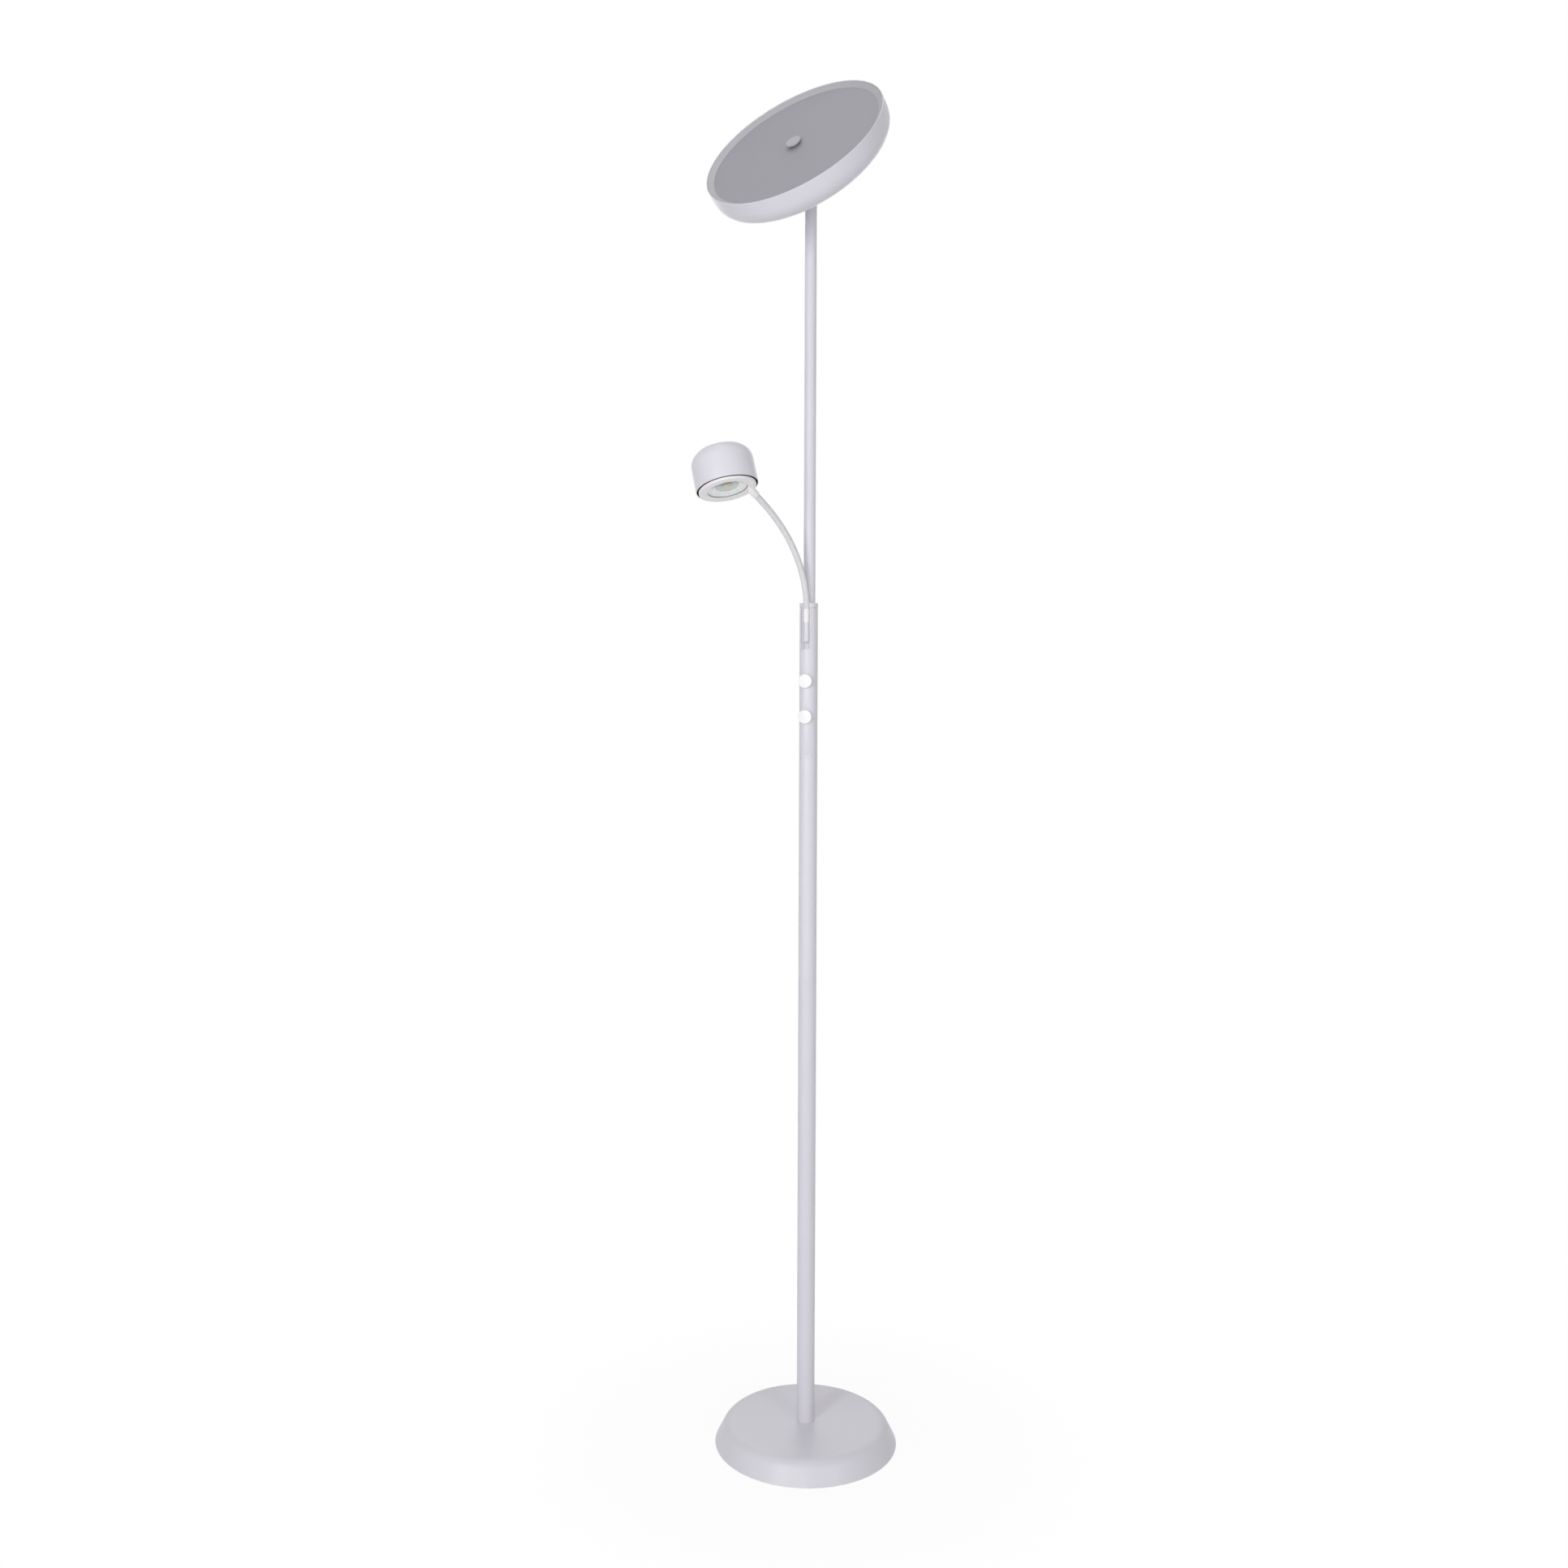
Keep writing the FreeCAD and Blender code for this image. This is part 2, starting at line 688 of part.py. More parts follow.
def arc_rod(radius, index, short=0.0):
    # One length of the arm, from its near ball along its arc. It can stop short of the far ball.
    turn = leans[index + 1] - leans[index]
    bend = arm_step / math.radians(turn)
    disc = Part.Face(Part.Wire(Part.makeCircle(radius, balls[index], heading(leans[index]))))
    centre = balls[index] + inward(leans[index]) * bend
    return disc.revolve(centre, bend_axis, turn * (1 - short / arm_step))


def make_arm_link(index):
    last = index == arm_lengths - 1
    short = boss_floor if last else 0.0
    link = arc_rod(arm_radius, index, short)
    bore = arc_rod(arm_bore, index, short)
    if not last:
        tip, ahead = balls[index + 1], heading(leans[index + 1])
        link = link.fuse(Part.makeSphere(arm_radius, tip, ahead, 0, 90, 360))
        bore = bore.fuse(Part.makeCylinder(arm_bore, 2 * arm_radius, tip, ahead))
    near = ferrule_radius if index == 0 else arm_radius
    link = link.cut(Part.makeSphere(near + ball_gap, balls[index]))
    return link.cut(bore)


# ---- reading light: modelled with its rim's centre at the origin and its light going down, then placed ----

reading_rotation = FreeCAD.Rotation(UP, -reading_turn).multiply(FreeCAD.Rotation(Vec(1, 0, 0), reading_lean))
bezel_radius = reading_radius - reading_wall - bezel_gap
mouth_radius = bezel_radius - bezel_face
boss_circle = bezel_radius - boss_inset
boss_x = boss_circle * math.cos(math.radians(boss_angle))
boss_y = boss_circle * math.sin(math.radians(boss_angle))
boss_point = Vec(boss_x, boss_y, -bezel_drop)
reading_centre = balls[-1] - reading_rotation.multVec(boss_point)
reading_place = FreeCAD.Placement(reading_centre, reading_rotation)
arm_heading = reading_rotation.inverted().multVec(heading(leans[-1]))
bezel_floor = bezel_wall - bezel_drop
bezel_inside = bezel_radius - bezel_wall
housing_radius = bezel_inside - play
housing_foot = bezel_floor + play
inside_top = reading_height - reading_wall
cover_high = housing_foot + cover_thick


def make_reading_shell():
    chain = [(reading_radius, 0), (reading_radius, reading_height, reading_round), (0, reading_height)]
    return turned(chain + [(0, 0)]).cut(turned(inset(chain, reading_wall) + [(0, 0)]))


def make_bezel():
    ring = turned([(mouth_radius, -bezel_drop, bezel_edge / 2), (bezel_radius, -bezel_drop, bezel_edge),
                   (bezel_radius, bezel_skirt), (bezel_inside, bezel_skirt), (bezel_inside, bezel_floor),
                   (mouth_radius, bezel_floor)])
    start = boss_point - arm_heading * boss_reach
    boss = Part.makeCylinder(boss_radius, boss_reach + boss_radius, start, arm_heading)
    boss = boss.cut(rod(mouth_radius + bezel_edge, -bezel_drop - boss_reach, bezel_skirt))
    boss = boss.cut(rod(bezel_radius + 2 * boss_reach, bezel_floor, bezel_skirt + boss_reach))
    hole = Part.makeCylinder(arm_radius + 1.5 * play, boss_reach - boss_floor + play, start, arm_heading)
    return ring.fuse(boss).cut(hole).removeSplitter()


def make_housing():
    housing = rod(housing_radius, housing_foot, housing_top)
    seat = reflector_top + reflector_wall + chip_thick
    housing = housing.cut(rod(housing_radius - housing_wall, housing_foot - past, seat))
    housing = housing.cut(rod(chip_board_radius + play, seat - past, seat + chip_board_thick))
    hanger = rod(hanger_radius, housing_top, inside_top)
    return housing, hanger


def reflector_ring(height, radius, rib):
    points = []
    for i in range(2 * reflector_ribs):
        angle = math.radians(180.0 * i / reflector_ribs)
        reach = radius - rib * (i % 2)
        points.append(Vec(reach * math.cos(angle), reach * math.sin(angle), height))
    return Part.makePolygon(points + points[:1])


def make_reflector():
    low, high = cover_high, reflector_top
    mouth = mouth_radius - play
    rings = []
    for i in range(reflector_steps + 1):
        share = i / reflector_steps
        radius = reflector_throat + (mouth - reflector_throat) * math.sqrt(1 - share)
        rings.append(reflector_ring(low + (high - low) * share, radius, reflector_rib * (1 - share / 2)))
    hollow = Part.makeLoft(rings, True, True)
    outer = []
    for i in range(reflector_steps + 1):
        share = i / reflector_steps
        radius = reflector_throat + (mouth - reflector_throat) * math.sqrt(1 - share) + 2 * reflector_wall
        outer.append((radius, low + (high - low) * share))
    body = turned([(0, low)] + outer + [(0, high)])
    lip = pipe(housing_radius - housing_wall - play, mouth + reflector_wall, low, low + reflector_wall)
    throat = rod(reflector_throat - reflector_rib, high - past, high + past)
    return body.fuse(lip).cut(hollow).cut(throat)


def make_reading_light():
    housing, hanger = make_housing()
    seat = reflector_top + reflector_wall + chip_thick
    pieces = {
        "reading_shell": make_reading_shell(),
        "reading_housing": housing,
        "hanger_stud": hanger,
        "chip_board": rod(chip_board_radius, seat, seat + chip_board_thick),
        "light_chip": rod(chip_radius, seat - chip_thick, seat),
        "reflector": make_reflector(),
        "clear_cover": rod(housing_radius - housing_wall - play, housing_foot, cover_high),
        "bezel": make_bezel(),
    }
    return {name: placed(shape, reading_place) for name, shape in pieces.items()}


# ---- all pieces ----

pieces = {
    "base_cover": make_base_cover(),
    "base_weight": make_base_weight(),
    "base_pad": make_base_pad(),
    "cable_gland": make_cable_gland(),
    "lower_pole": make_lower_pole(),
    "joining_sleeve": make_joining_sleeve(),
    "control_tube": make_control_tube(),
    "top_adapter": make_top_adapter(),
    "upper_pole": make_upper_pole(),
    "pole_socket": make_pole_socket(),
    "arm_ferrule": make_arm_ferrule(),
    "ferrule_screw": make_ferrule_screw(),
}
pieces.update(make_clamp())
for name, height in dimmer_heights.items():
    pieces[name + "_dimmer"] = make_dimmer(height)
    pieces[name + "_shaft"] = make_shaft(height)
    pieces[name + "_knob"] = make_knob(height)
pieces.update(make_swivel())
pieces.update(make_uplighter())
for index in range(arm_lengths):
    pieces["arm_link_" + str(index + 1)] = make_arm_link(index)
pieces.update(make_reading_light())
save(pieces)


def told(name, place):
    print(name, [round(value, 4) for value in place])


for index in range(arm_lengths):
    told("ball " + str(index + 1), balls[index])
    told("  side axis", inward(leans[index]))
told("bend axis", bend_axis)
told("pivot", pivot)
told("hinge axis", hinge_turn.multVec(Vec(1, 0, 0)))
told("reading centre", reading_centre)
told("reading axis", reading_rotation.multVec(UP))
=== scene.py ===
import json
import math
from functools import partial

import bmesh
import bpy
from mathutils import Matrix, Vector
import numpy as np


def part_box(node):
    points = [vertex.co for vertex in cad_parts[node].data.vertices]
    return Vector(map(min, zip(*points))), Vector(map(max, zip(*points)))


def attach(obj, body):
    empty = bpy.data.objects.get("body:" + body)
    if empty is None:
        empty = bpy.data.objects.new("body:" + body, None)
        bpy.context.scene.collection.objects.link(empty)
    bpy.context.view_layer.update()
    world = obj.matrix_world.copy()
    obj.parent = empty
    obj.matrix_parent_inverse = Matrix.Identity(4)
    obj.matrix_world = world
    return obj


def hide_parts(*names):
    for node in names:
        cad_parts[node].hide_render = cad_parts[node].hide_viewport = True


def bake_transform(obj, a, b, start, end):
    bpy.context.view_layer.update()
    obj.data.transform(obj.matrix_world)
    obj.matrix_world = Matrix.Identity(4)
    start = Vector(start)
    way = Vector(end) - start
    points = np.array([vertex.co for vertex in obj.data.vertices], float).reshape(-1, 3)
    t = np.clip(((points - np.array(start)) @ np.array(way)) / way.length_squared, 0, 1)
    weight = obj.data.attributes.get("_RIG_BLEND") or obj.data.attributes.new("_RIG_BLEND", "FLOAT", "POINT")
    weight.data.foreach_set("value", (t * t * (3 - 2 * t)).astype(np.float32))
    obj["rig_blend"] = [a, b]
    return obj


# Torchiere floor lamp with a reading light. The scene is in metres, +Z up, the front is -Y.
# The lamp's own dictionaries are in millimetres and degrees, the studio's in metres.
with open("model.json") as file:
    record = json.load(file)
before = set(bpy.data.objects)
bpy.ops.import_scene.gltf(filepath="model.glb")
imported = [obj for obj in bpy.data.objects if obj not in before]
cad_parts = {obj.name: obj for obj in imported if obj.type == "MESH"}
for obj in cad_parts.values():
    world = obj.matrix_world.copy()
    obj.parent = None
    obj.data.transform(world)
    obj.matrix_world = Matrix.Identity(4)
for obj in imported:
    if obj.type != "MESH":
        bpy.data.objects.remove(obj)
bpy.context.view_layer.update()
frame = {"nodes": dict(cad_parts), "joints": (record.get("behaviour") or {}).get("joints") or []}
nodes = frame["nodes"]
joints = {joint["name"]: joint for joint in frame["joints"]}
mm = 0.001
tiny = 1e-7
samePoint = 1e-6  # points this close, in metres, are one
samePointOfNode = 4e-6
print("frame loaded,", len(nodes), "nodes")


# Small helpers

def addNode(tree, kind, **settings):
    node = tree.nodes.new(kind)
    for key, value in settings.items():
        setattr(node, key, value)
    return node


def addMath(tree, operation, first, second=None):
    # Each operand is a number or a socket.
    node = addNode(tree, "ShaderNodeMath", operation=operation)
    for socket, value in zip(node.inputs, (first, second)):
        if isinstance(value, (int, float)):
            socket.default_value = value
        elif value is not None:
            tree.links.new(value, socket)
    return node.outputs[0]


def roundedLine(corners, arcStep):
    # Corners of a closed outline, as (radius, height) or (radius, height, rounding) in millimetres.
    line = []
    for index, corner in enumerate(corners):
        here = Vector(corner[:2])
        rounding = corner[2] if len(corner) > 2 else 0
        if rounding == 0:
            line.append(here)
            continue
        before = (Vector(corners[index - 1][:2]) - here).normalized()
        after = (Vector(corners[(index + 1) % len(corners)][:2]) - here).normalized()
        half = before.angle(after) / 2
        centre = here + (before + after).normalized() * (rounding / math.sin(half))
        spokes = [here + side * (rounding / math.tan(half)) - centre for side in (before, after)]
        first, last = [math.atan2(spoke.y, spoke.x) for spoke in spokes]
        sweep = (last - first + math.pi) % (2 * math.pi) - math.pi
        steps = max(2, math.ceil(abs(math.degrees(sweep)) / arcStep))
        for step in range(steps + 1):
            angle = first + sweep * step / steps
            line.append(centre + Vector((math.cos(angle), math.sin(angle))) * rounding)
    return line


def turnedMesh(corners, sides=128, arcStep=10):
    # A closed outline turned about Z.
    work = bmesh.new()
    rings = []
    for point in roundedLine(corners, arcStep):
        radius, height = point * mm
        if radius < tiny:
            rings.append([work.verts.new((0, 0, height))])
            continue
        rings.append([work.verts.new((radius * math.cos(2 * math.pi * i / sides),
                                      radius * math.sin(2 * math.pi * i / sides), height))
                      for i in range(sides)])
    for ring, following in zip(rings, rings[1:] + rings[:1]):
        for i in range(sides):
            j = (i + 1) % sides
            loop = [ring[i % len(ring)], ring[j % len(ring)],
                    following[j % len(following)], following[i % len(following)]]
            loop = list(dict.fromkeys(loop))
            if len(loop) > 2:
                work.faces.new(loop)
    return work


def rod(radius, low, high, sides):
    return turnedMesh([(0, low), (radius, low), (radius, high), (0, high)], sides)


def objectFrom(name, work, place=Matrix.Identity(4)):
    bmesh.ops.remove_doubles(work, verts=work.verts, dist=samePoint)
    bmesh.ops.recalc_face_normals(work, faces=work.faces)
    mesh = bpy.data.meshes.new(name)
    work.to_mesh(mesh)
    work.free()
    mesh.transform(place)
    piece = bpy.data.objects.new(name, mesh)
    bpy.context.scene.collection.objects.link(piece)
    return piece


flatWithin = 0.6  # degrees


def nodeCopy(name, node):
    # The node's loose triangles, merged, with its flat stretches as whole faces.
    source = nodes[node].data
    work = bmesh.new()
    points = [work.verts.new(vertex.co) for vertex in source.vertices]
    for face in source.polygons:
        work.faces.new([points[index] for index in face.vertices])
    bmesh.ops.remove_doubles(work, verts=work.verts, dist=samePointOfNode)
    bmesh.ops.dissolve_degenerate(work, dist=samePoint, edges=work.edges)
    bmesh.ops.dissolve_limit(work, angle_limit=math.radians(flatWithin), verts=work.verts, edges=work.edges)
    return objectFrom(name, work)


def settle(piece):
    # Its modifiers become plain mesh.
    graph = bpy.context.evaluated_depsgraph_get()
    mesh = bpy.data.meshes.new_from_object(piece.evaluated_get(graph))
    piece.modifiers.clear()
    piece.data = mesh
    return piece


softening = {"steps": 2, "fromAngle": 40}


def softenEdges(piece, width):
    bevel = piece.modifiers.new("edges", "BEVEL")
    bevel.width = width * mm
    bevel.segments = softening["steps"]
    bevel.limit_method = "ANGLE"
    bevel.angle_limit = math.radians(softening["fromAngle"])
    bevel.use_clamp_overlap = True
    return settle(piece)


def cutAway(piece, cutter):
    # Cuts one closed mesh out of another.
    boolean = piece.modifiers.new("cut", "BOOLEAN")
    boolean.operation = "DIFFERENCE"
    boolean.solver = "EXACT"
    boolean.object = cutter
    settle(piece)
    bpy.data.objects.remove(cutter)


def dress(piece, finish, body, stands=(), sharp=33):
    # Finish, smooth shading, body and the nodes that it stands for, which are hidden.
    piece.data.materials.clear()
    piece.data.materials.append(finishes[finish])
    piece.data.shade_smooth()
    piece.data.set_sharp_from_angle(angle=math.radians(sharp))
    if body:
        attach(piece, body)
    if stands:
        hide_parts(*stands)


def boxCentre(node):
    low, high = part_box(node)
    return (low + high) / 2


# Finishes

patchDetail = 3
patchRange = (0.32, 0.68)  # of the noise, from one colour to the other


def makeFinish(name, look):
    # Two colours in soft patches, a grain that also varies the gloss, and the grain's bump.
    material = bpy.data.materials.new(name)
    material.use_nodes = True
    tree = material.node_tree
    shader = tree.nodes["Principled BSDF"]
    coords = addNode(tree, "ShaderNodeTexCoord")
    mapping = addNode(tree, "ShaderNodeMapping")
    mapping.inputs["Scale"].default_value = look.get("stretch", (1, 1, 1))
    tree.links.new(coords.outputs["Object"], mapping.inputs["Vector"])

    patches = addNode(tree, "ShaderNodeTexNoise")
    patches.inputs["Scale"].default_value = look["patches"]
    patches.inputs["Detail"].default_value = patchDetail
    spread = addNode(tree, "ShaderNodeMapRange", clamp=True)
    spread.inputs["From Min"].default_value, spread.inputs["From Max"].default_value = patchRange
    blend = addNode(tree, "ShaderNodeMix", data_type="RGBA")
    blend.inputs["A"].default_value = (*look["colour"], 1)
    blend.inputs["B"].default_value = (*look["shade"], 1)
    tree.links.new(mapping.outputs["Vector"], patches.inputs["Vector"])
    tree.links.new(patches.outputs["Fac"], spread.inputs["Value"])
    tree.links.new(spread.outputs["Result"], blend.inputs["Factor"])
    tree.links.new(blend.outputs["Result"], shader.inputs["Base Color"])

    if look.get("pits"):
        grain = addNode(tree, "ShaderNodeTexVoronoi")
        grainOut = grain.outputs["Distance"]
    else:
        grain = addNode(tree, "ShaderNodeTexNoise")
        grain.inputs["Detail"].default_value = look.get("grainDetail", 2)
        grainOut = grain.outputs["Fac"]
    grain.inputs["Scale"].default_value = look["grain"]
    gloss = addNode(tree, "ShaderNodeMapRange", clamp=True)
    gloss.inputs["To Min"].default_value, gloss.inputs["To Max"].default_value = look["roughness"]
    bump = addNode(tree, "ShaderNodeBump")
    bump.inputs["Strength"].default_value = look.get("bump", 0.5)
    bump.inputs["Distance"].default_value = look["relief"] * mm
    tree.links.new(mapping.outputs["Vector"], grain.inputs["Vector"])
    tree.links.new(grainOut, gloss.inputs["Value"])
    tree.links.new(grainOut, bump.inputs["Height"])
    tree.links.new(gloss.outputs["Result"], shader.inputs["Roughness"])
    tree.links.new(bump.outputs["Normal"], shader.inputs["Normal"])

    for socket, key, usual in (("Metallic", "metal", 0), ("Specular IOR Level", "specular", 0.5),
                               ("Transmission Weight", "clear", 0), ("IOR", "ior", 1.5)):
        shader.inputs[socket].default_value = look.get(key, usual)
    return material


looks = {
    # satin powder coat with a fine orange peel
    "powderCoat": {"colour": (0.745, 0.728, 0.780), "shade": (0.725, 0.708, 0.760), "patches": 9,
                   "roughness": (0.31, 0.41), "grain": 620, "relief": 0.03, "bump": 0.35},
    # painted shade: near-black inside the reading light's shell and on the bezel's side above the shell's rim,
    # standing for the shadow in the narrow gap between them
    "paintedShadeBlack": {"colour": (0.022, 0.022, 0.024), "shade": (0.016, 0.016, 0.018), "patches": 40,
                    "roughness": (0.55, 0.7), "grain": 700, "relief": 0.03, "bump": 0.4},
    # moulded plastic with a fine texture
    "mouldedWhite": {"colour": (0.745, 0.735, 0.775), "shade": (0.725, 0.715, 0.755), "patches": 15,
                     "roughness": (0.42, 0.52), "grain": 1500, "relief": 0.02, "bump": 0.3},
    # painted shade: a darker copy of the moulded white, for the diffuser ring and the centre cap, which lie in
    # shade inside the uplighter
    "paintedShadeWhite": {"colour": (0.492, 0.486, 0.516), "shade": (0.472, 0.466, 0.496), "patches": 12,
                  "roughness": (0.45, 0.55), "grain": 1500, "relief": 0.02, "bump": 0.3},
    "bezelWhite": {"colour": (0.95, 0.925, 0.93), "shade": (0.93, 0.90, 0.91), "patches": 25,
                   "roughness": (0.36, 0.46), "grain": 1400, "relief": 0.02, "bump": 0.3},
    "knobWhite": {"colour": (0.93, 0.93, 0.94), "shade": (0.91, 0.91, 0.92), "patches": 60,
                  "roughness": (0.22, 0.32), "grain": 900, "relief": 0.01, "bump": 0.3},
    "sleeveWhite": {"colour": (0.765, 0.765, 0.775), "shade": (0.735, 0.735, 0.745), "patches": 60,
                    "roughness": (0.50, 0.62), "grain": 1100, "relief": 0.02, "bump": 0.3, "specular": 0.3},
    "opalDisc": {"colour": (0.355, 0.353, 0.388), "shade": (0.347, 0.345, 0.380), "patches": 7,
                 "roughness": (0.50, 0.60), "grain": 2200, "relief": 0.01, "bump": 0.25},
    "brightMirror": {"colour": (0.88, 0.90, 0.88), "shade": (0.82, 0.84, 0.82), "patches": 120, "metal": 1,
                     "roughness": (0.20, 0.30), "grain": 900, "relief": 0.01, "bump": 0.2},
    # painted shade: a darker copy of the mirror, for the shadow in the grooves between the flutes and on the
    # reflector's floor deep in the dish
    "mirrorPaintedShade": {"colour": (0.47, 0.53, 0.50), "shade": (0.43, 0.48, 0.46), "patches": 120, "metal": 1,
                    "roughness": (0.30, 0.40), "grain": 900, "relief": 0.01, "bump": 0.2},
    "clearPane": {"colour": (0.97, 0.98, 0.98), "shade": (0.95, 0.96, 0.96), "patches": 30, "clear": 1,
                  "roughness": (0.02, 0.06), "grain": 500, "relief": 0.004, "bump": 0.1, "ior": 1.45},
    "phosphor": {"colour": (0.72, 0.64, 0.42), "shade": (0.66, 0.58, 0.36), "patches": 400,
                 "roughness": (0.35, 0.5), "grain": 2500, "relief": 0.02, "bump": 0.4},
    "boardWhite": {"colour": (0.84, 0.84, 0.82), "shade": (0.80, 0.80, 0.78), "patches": 80,
                   "roughness": (0.35, 0.45), "grain": 900, "relief": 0.01, "bump": 0.3},
    "zincPlate": {"colour": (0.62, 0.63, 0.65), "shade": (0.52, 0.54, 0.57), "patches": 150, "metal": 1,
                  "roughness": (0.25, 0.42), "grain": 1200, "relief": 0.02, "bump": 0.3},
    "plainAluminium": {"colour": (0.72, 0.73, 0.75), "shade": (0.64, 0.65, 0.67), "patches": 60, "metal": 1,
                       "stretch": (1, 1, 12), "roughness": (0.3, 0.5), "grain": 300, "relief": 0.02},
    # painted shade: near-black on the reading light's housing, for the shadow in the gap round the bezel
    "housingPaintedShade": {"colour": (0.035, 0.035, 0.04), "shade": (0.025, 0.025, 0.03), "patches": 60,
                     "metal": 0.6, "roughness": (0.4, 0.55), "grain": 900, "relief": 0.01},
    "dimmerBlack": {"colour": (0.03, 0.03, 0.03), "shade": (0.045, 0.045, 0.045), "patches": 90,
                    "roughness": (0.4, 0.55), "grain": 1200, "relief": 0.02},
    "driverCase": {"colour": (0.78, 0.78, 0.75), "shade": (0.73, 0.73, 0.70), "patches": 60,
                   "roughness": (0.45, 0.55), "grain": 1200, "relief": 0.02},
    "padFoam": {"colour": (0.020, 0.020, 0.022), "shade": (0.032, 0.032, 0.034), "patches": 200, "pits": True,
                "roughness": (0.8, 0.95), "grain": 1400, "relief": 0.25, "bump": 0.7, "specular": 0.3},
    "castConcrete": {"colour": (0.42, 0.41, 0.39), "shade": (0.30, 0.29, 0.28), "patches": 60,
                     "roughness": (0.8, 0.95), "grain": 350, "grainDetail": 8, "relief": 0.6, "bump": 0.6},
    "glandRubber": {"colour": (0.70, 0.69, 0.72), "shade": (0.66, 0.65, 0.68), "patches": 90,
                    "roughness": (0.6, 0.7), "grain": 1500, "relief": 0.02},
}
finishes = {name: makeFinish(name, look) for name, look in looks.items()}

# what each slot of the record becomes on the nodes that stay in view
slotFinish = {
    "white_paint": "powderCoat", "concrete": "castConcrete", "foam_pad": "padFoam",
    "white_rubber": "glandRubber", "zinc_steel": "zincPlate", "white_plastic": "mouldedWhite",
    "sleeve_white": "sleeveWhite", "dimmer_black": "dimmerBlack", "bare_aluminium": "plainAluminium",
    "knob_white": "knobWhite", "driver_case": "driverCase", "board_white": "boardWhite",
    "chip_yellow": "phosphor", "opal": "opalDisc", "mirror_finish": "brightMirror", "clear": "clearPane",
    # the housing's slot gets the painted shade
    "black_aluminium": "housingPaintedShade",
}
for node in nodes.values():
    for materialSlot in node.material_slots:
        slotName = materialSlot.material.name.split(".")[0]
        materialSlot.material = finishes[slotFinish[slotName]]
print("finishes made:", len(finishes))


# Base

base = {"foot": 128.3, "slope": 15.3, "height": 31.0, "shoulder": 18.0, "lip": 0.8, "wall": 1.2, "hem": 0.4,
        "hole": 5.1, "holeEdge": 0.2, "pad": 126.0, "padThick": 1.5, "padEdge": 0.4}


def makeBase():
    top, wall, lip, hem = base["height"], base["wall"], base["lip"], base["hem"]
    slope = base["slope"] / (top - lip)  # how far the side leans in for each millimetre of height
    innerFoot = base["foot"] - wall * math.hypot(1, slope)
    innerTop = top - wall
    innerShoulder = innerFoot - slope * (innerTop - lip)
    cover = turnedMesh([
        (base["foot"], lip, hem), (base["foot"] - base["slope"], top, base["shoulder"]),
        (base["hole"], top, base["holeEdge"]), (base["hole"], innerTop),
        (innerShoulder, innerTop, base["shoulder"] - wall), (innerFoot, lip, hem),
    ], sides=192, arcStep=5)
    dress(objectFrom("baseCover", cover), "powderCoat", "stand", ["base_cover"])
    pad = turnedMesh([(0, 0), (base["pad"], 0, base["padEdge"]),
                      (base["pad"], base["padThick"], base["padEdge"]), (0, base["padThick"])], sides=160)
    dress(objectFrom("basePad", pad), "padFoam", "stand", ["base_pad"])


gland = {"height": 9.5, "tail": 110.0, "nose": 127.5, "radius": 6.0, "bore": 3.3, "collar": 8.0,
         "collarThick": 2.5, "edge": 0.3, "taperLong": 1.6, "taperDeep": 1.2, "taperEdge": 0.6}


def makeGland():
    length = gland["nose"] - gland["tail"]
    radius, bore, edge = gland["radius"], gland["bore"], gland["edge"]
    body = turnedMesh([
        (bore, 0), (gland["collar"], 0, edge), (gland["collar"], gland["collarThick"], edge),
        (radius, gland["collarThick"]), (radius, length - gland["taperLong"], edge),
        (radius - gland["taperDeep"], length, gland["taperEdge"]), (bore, length, edge),
    ], sides=64)
    place = (Matrix.Translation((0, gland["tail"] * mm, gland["height"] * mm))
             @ Matrix.Rotation(-math.pi / 2, 4, "X"))
    dress(objectFrom("cableGland", body, place), "glandRubber", "stand", ["cable_gland"])


makeBase()
makeGland()
print("base made")


# Poles

poles = {"radius": 12.5, "wall": 1.2, "foot": 31.0, "seam": 972.8, "ring": 3.5, "sleeve": 28.0,
         "sleeveWall": 1.4, "play": 0.1, "edge": 0.35, "ringEdge": 0.3, "controlEdge": 0.4,
         "slimRadius": 8.0, "slimFoot": 1148.0, "slimTop": 1722.0, "slimBack": 2.6}
slimPlace = Matrix.Translation((0, poles["slimBack"] * mm, 0))


def tube(outer, inner, low, high, edge):
    return [(outer, low, edge), (outer, high, edge), (inner, high), (inner, low)]


def makePoles():
    radius, seam, edge = poles["radius"], poles["seam"], poles["ringEdge"]
    inside = radius - poles["wall"]
    lower = turnedMesh(tube(radius, inside, poles["foot"], seam, poles["edge"]))
    dress(objectFrom("lowerPole", lower), "powderCoat", "stand", ["lower_pole"])

    fit = inside - poles["play"]
    bore = fit - poles["sleeveWall"]
    ringTop = seam + poles["ring"]
    low, high = seam - poles["sleeve"], ringTop + poles["sleeve"]
    sleeve = turnedMesh([
        (bore, low), (fit, low, edge), (fit, seam), (radius, seam, edge), (radius, ringTop, edge),
        (fit, ringTop), (fit, high, edge), (bore, high),
    ])
    dress(objectFrom("joiningRing", sleeve), "powderCoat", "stand", ["joining_sleeve"])

    slim = turnedMesh(tube(poles["slimRadius"], poles["slimRadius"] - poles["wall"], poles["slimFoot"],
                           poles["slimTop"], poles["edge"]), sides=96)
    dress(objectFrom("upperPole", slim, slimPlace), "powderCoat", "stand", ["upper_pole"])

    control = softenEdges(nodeCopy("controlTube", "control_tube"), poles["controlEdge"])
    dress(control, "powderCoat", "stand", ["control_tube"], sharp=25)


adapter = {"foot": 1112.0, "footEdge": 0.4, "neck": 1176.7, "top": 1182.5, "topEdge": 0.3, "edge": 0.45,
           "bore": 4.0, "fit": 8.1, "groove": 4.4, "grooveFoot": 1120.3, "grooveFront": 10.0,
           "grooveSteps": 32, "past": 1.0}


